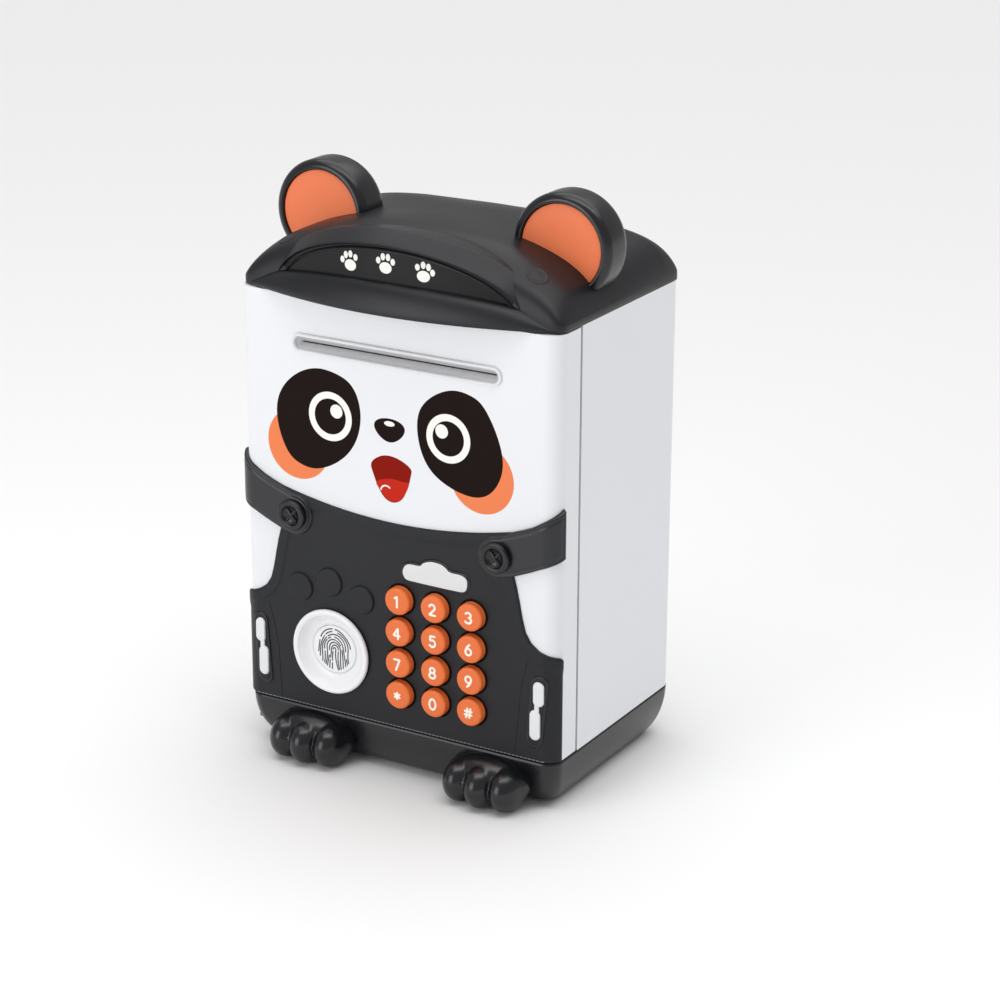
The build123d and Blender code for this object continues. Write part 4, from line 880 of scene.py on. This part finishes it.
def visor_rise(x):
    """Height of the visor's root over the roof's foot: 11.4 * sqrt(1 - (x / HALF_W)^2)."""
    return 11.4 * np.sqrt(np.maximum(0.0, 1 - (x / HALF_W) ** 2))


visor_x = 66.5 * np.sin(np.linspace(-1, 1, 121) * math.pi / 2)
tip = np.sqrt(np.maximum(0, 1 - (visor_x / 66.6) ** 8))
root = visor_rise(visor_x) * tip
visor_section = [(9.0, 0.3), (1.2, 0.02), (0.45, 0.1), (0.12, 0.4 * tip), (0.0, tip),
                 (0.02, 1.7 * tip + 0.03 * root), (0.35, 1.9 * tip + 0.16 * root),
                 (1.0, 1.5 * tip + 0.38 * root), (1.9, 0.9 * tip + 0.62 * root),
                 (3.0, 0.4 * tip + 0.82 * root), (4.2, 0.1 * tip + 0.95 * root),
                 (5.6, root + 0.02), (9.0, root)]
visor_edge = VISOR_Y + bow(visor_x)
visor_rings = np.array([np.stack([visor_x, visor_edge + depth, ROOF_Z + rise + 0 * root], -1)
                        for depth, rise in visor_section])
points, faces = ring_solid(visor_rings.transpose(1, 0, 2))
mesh_piece("roof_visor", points, faces, "cabinet", satin_black)

sign_black = moulded("satin_sign_black", "#101113", 0.42, grain=0.6, depth=0.01, shine=0.25, tint=0.04)
across_sign = SIGN_HALF_W * 0.999 * np.sin(np.linspace(-1, 1, 121) * math.pi / 2)
sign_top = ROOF_Z + SIGN_RISE * np.sqrt(1 - (across_sign / SIGN_HALF_W) ** 2)
sign_foot = np.minimum(ROOF_Z + visor_rise(across_sign) - 1.5, sign_top)
share = np.linspace(0, 1, 20)[:, None]
sign_z = sign_foot + share * (sign_top - sign_foot)
sign_y = BROW_Y + bow(across_sign) + 1.4 + 0 * sign_z
front_face = np.stack([across_sign + 0 * sign_z, sign_y, sign_z], -1)
points, faces = slab(front_face, front_face + np.array([0, 1.6, 0]))
mesh_piece("sign", points, faces, "cabinet", sign_black, ["sign_panel"])


def on_sign(x, z, h):
    """Point that stands h off the sign's face."""
    return np.stack([x, BROW_Y + bow(x) + 1.4 - h, z], -1)


prints = []
paw_pads = ((0, -1.5, 2.6, 2.1), (-3.1, 1.0, 0.95, 1.25), (-1.1, 2.5, 0.95, 1.35),
            (1.1, 2.5, 0.95, 1.35), (3.1, 1.0, 0.95, 1.25))
for print_x, tilt in ((-16, 14), (0, 0), (16, -14)):
    lean = math.radians(tilt)
    print_z = ROOF_Z + 18.2 - abs(tilt) * 0.09
    for dx, dz, rx, rz in paw_pads:
        px = print_x + dx * math.cos(lean) - dz * math.sin(lean) + rx * np.cos(angle)
        pz = print_z + dz * math.cos(lean) + dx * math.sin(lean) + rz * np.sin(angle)
        middle = np.array([px.mean(), pz.mean()])
        layers = [on_sign(middle[0] + k * (px - middle[0]), middle[1] + k * (pz - middle[1]), h)
                  for k, h in ((1, 0.0), (1, 0.06), (0.5, 0.06))]
        prints.append(ring_solid(np.array(layers)))
points, faces = joined(prints)
mesh_piece("sign_paw_prints", points, faces, "cabinet", white_ink, smooth=False)

# --- Ears ----------------------------------------------------------------------------------
# Each ear is a round black cup with a rolled rim, and a satin orange disc pressed into it. It
# stands in the dome, which rises round its foot.

ear_orange = moulded("moulded_orange_inlay", "#F98354", 0.48, grain=0.6, depth=0.004,
                     shine=0.3, tint=0.02)
EAR_R = 20.3
for side in ("left", "right"):
    low, high = (np.array(c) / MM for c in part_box(f"{side}_ear_shell"))
    x = low[0] + EAR_R if side == "left" else high[0] - EAR_R
    z, front, rear = high[2] - EAR_R, low[1], high[1]
    profile = ([(1.0, rear)] + arc_profile(EAR_R - 5.5, rear - 5.5, 5.5, 90, 0, 10)
               + [(EAR_R, (front + rear) / 2)]
               + arc_profile(EAR_R - 3.2, front + 3.2, 3.2, 0, -90, 9)
               + arc_profile(17.1, front + 0.35, 0.35, -90, -180, 4)
               + [(16.7, front + 2.2), (1.0, front + 2.3)])
    points, faces = turned((x, z), profile, 128)
    mesh_piece(f"{side}_ear", points, faces, "cabinet", gloss_black,
               [f"{side}_ear_shell"])
    disc_y = front + 0.85
    profile = [(16.4, front + 2.6), (16.45, front + 1.1), (16.3, front + 0.92), (16.0, disc_y),
               (8, disc_y), (0.5, disc_y)]
    points, faces = turned((x, z), profile)
    mesh_piece(f"{side}_ear_disc", points, faces, "cabinet", ear_orange,
               [f"{side}_ear_inlay"])

# --- Base and paws -------------------------------------------------------------------------
# Black tub with quarter-ellipse lower edges, and two three-toed paws fixed to its front. The
# skin lies a hair's breadth outside the tub, whose own rim and wells show from above.


def rounded_plan(low_x, high_x, low_y, high_y, radius, count=400):
    """Rounded rectangle as offset corners: centre of each corner plus radius in direction a."""
    a = np.linspace(0, 2 * math.pi, count, endpoint=False)
    x = (low_x + high_x) / 2 + np.sign(np.cos(a)) * ((high_x - low_x) / 2 - radius)
    y = (low_y + high_y) / 2 + np.sign(np.sin(a)) * ((high_y - low_y) / 2 - radius)
    return x + radius * np.cos(a), y + radius * np.sin(a)


SKIN = 0.06
TUCK, FRONT_TUCK = 9.5, 12.8
tub_rings = []
for step in np.linspace(math.pi / 2, 0, 22):
    fade = 1 - math.sin(step)
    x, y = rounded_plan(-HALF_W - SKIN + TUCK * fade, HALF_W + SKIN - TUCK * fade,
                        FRONT_Y - SKIN + FRONT_TUCK * fade, BACK_Y + SKIN - TUCK * fade, CORNER_R)
    height = max(0.12, SEAM_Z * (1 - math.cos(step)))
    tub_rings.append(np.stack([x, np.minimum(y, BACK_Y), np.full(len(x), height)], -1))
tub_rings = np.array(tub_rings)
inner = tub_rings[::-1] + (np.array([0, 8, 0]) - tub_rings[::-1]) * np.array([0.004, 0.004, 0])
points, faces = tube(np.concatenate([tub_rings, inner]))
mesh_piece("tub_skin", points, faces, "cabinet", gloss_black)


def paw_surface(x, toes, mound, power=26):
    """Paw as one skin: along each ray from its middle, the smooth farthest of its ellipsoids.

    r = (sum r_i ^ power) ^ (1 / power), where r_i is where the ray leaves ellipsoid i.
    """
    a = np.linspace(0, 2 * math.pi, 180, endpoint=False)
    b = np.linspace(0.02, math.pi - 0.02, 110)
    outward = np.sin(b)[:, None]
    d = np.stack([outward * np.cos(a), outward * np.sin(a), np.cos(b)[:, None] + 0 * a], -1)
    origin = np.array([x, -43.0, 8.0])
    total = np.zeros(d.shape[:2])
    for centre, axes in toes + [mound]:
        offset = (origin - np.array(centre)) / np.array(axes)
        way = d / np.array(axes)
        qa, qb, qc = (way ** 2).sum(-1), (way * offset).sum(-1), (offset ** 2).sum() - 1
        root_part = qb ** 2 - qa * qc
        hit = np.where(root_part > 0, (-qb + np.sqrt(np.maximum(root_part, 0))) / qa, 0)
        total += np.maximum(hit, 0) ** power
    skin = origin + d * (total ** (1 / power))[..., None]
    skin[..., 2] = np.maximum(skin[..., 2], 0.03)
    return skin


for side in ("left", "right"):
    low, high = (np.array(c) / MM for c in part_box(f"{side}_paw"))
    x = (low[0] + high[0]) / 2
    toes = [((x + n * 10.0, -45.6 + 1.5 * abs(n), 8.5), (6.5, 9.2, 8.5)) for n in (-1, 0, 1)]
    skin = paw_surface(x, toes, ((x, -40.5, 9.9), (17.6, 9.6, 9.5)))
    points, faces = ring_solid(skin)
    mesh_piece(f"{side}_paw_skin", points, faces, "cabinet", gloss_black,
               [f"{side}_paw"])

# --- Parts that show when the door is open -------------------------------------------------
# Plain moulded and metal parts inside: cover, feeder, latch, floor, screws and battery box.
# They keep their own shapes and take only a material.

grey_abs = moulded("moulded_grey_abs", "#9A9CA0", 0.5, tint=0.04)
zinc = moulded("zinc_plated_steel", "#B9BABD", 0.35, grain=0.8, depth=0.004, tint=0.06, metal=1.0)
brass = moulded("nickelled_brass", "#C9B27A", 0.3, grain=0.8, depth=0.004, tint=0.06, metal=1.0)
rubber = moulded("black_nitrile_rubber", "#1C1C1D", 0.75, grain=0.4, depth=0.03)
acetal = moulded("white_acetal", "#E6E4DC", 0.4, tint=0.02)
solder_mask = moulded("green_solder_mask", "#1E6B3A", 0.3, tint=0.06)
silicone = moulded("milky_silicone", "#C9CAC6", 0.5, tint=0.03)
wrapper = moulded("printed_cell_jacket", "#34506E", 0.3, tint=0.08)
for material, names in (
        (grey_abs, ["latch_keeper", "door_back_cover", "feeder_frame", "latch_housing", "speaker"]),
        (zinc, ["base_screws", "roof_screws", "door_screws", "hinge_pins", "feed_motor",
                "feed_shaft", "pinch_shaft", "latch_bolt"]),
        (brass, ["battery_contacts"]),
        (rubber, ["feed_rollers", "pinch_rollers"]),
        (acetal, ["shaft_gear", "motor_pinion"]),
        (solder_mask, ["main_board"]),
        (silicone, ["keypad_membrane"]),
        (wrapper, ["battery_cells"]),
        (gloss_black, ["base_tub", "battery_cover", "roof_plugs"]),
        (charcoal_abs, ["inner_floor"])):
    for name in names:
        paint_node(name, material)

low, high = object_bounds()
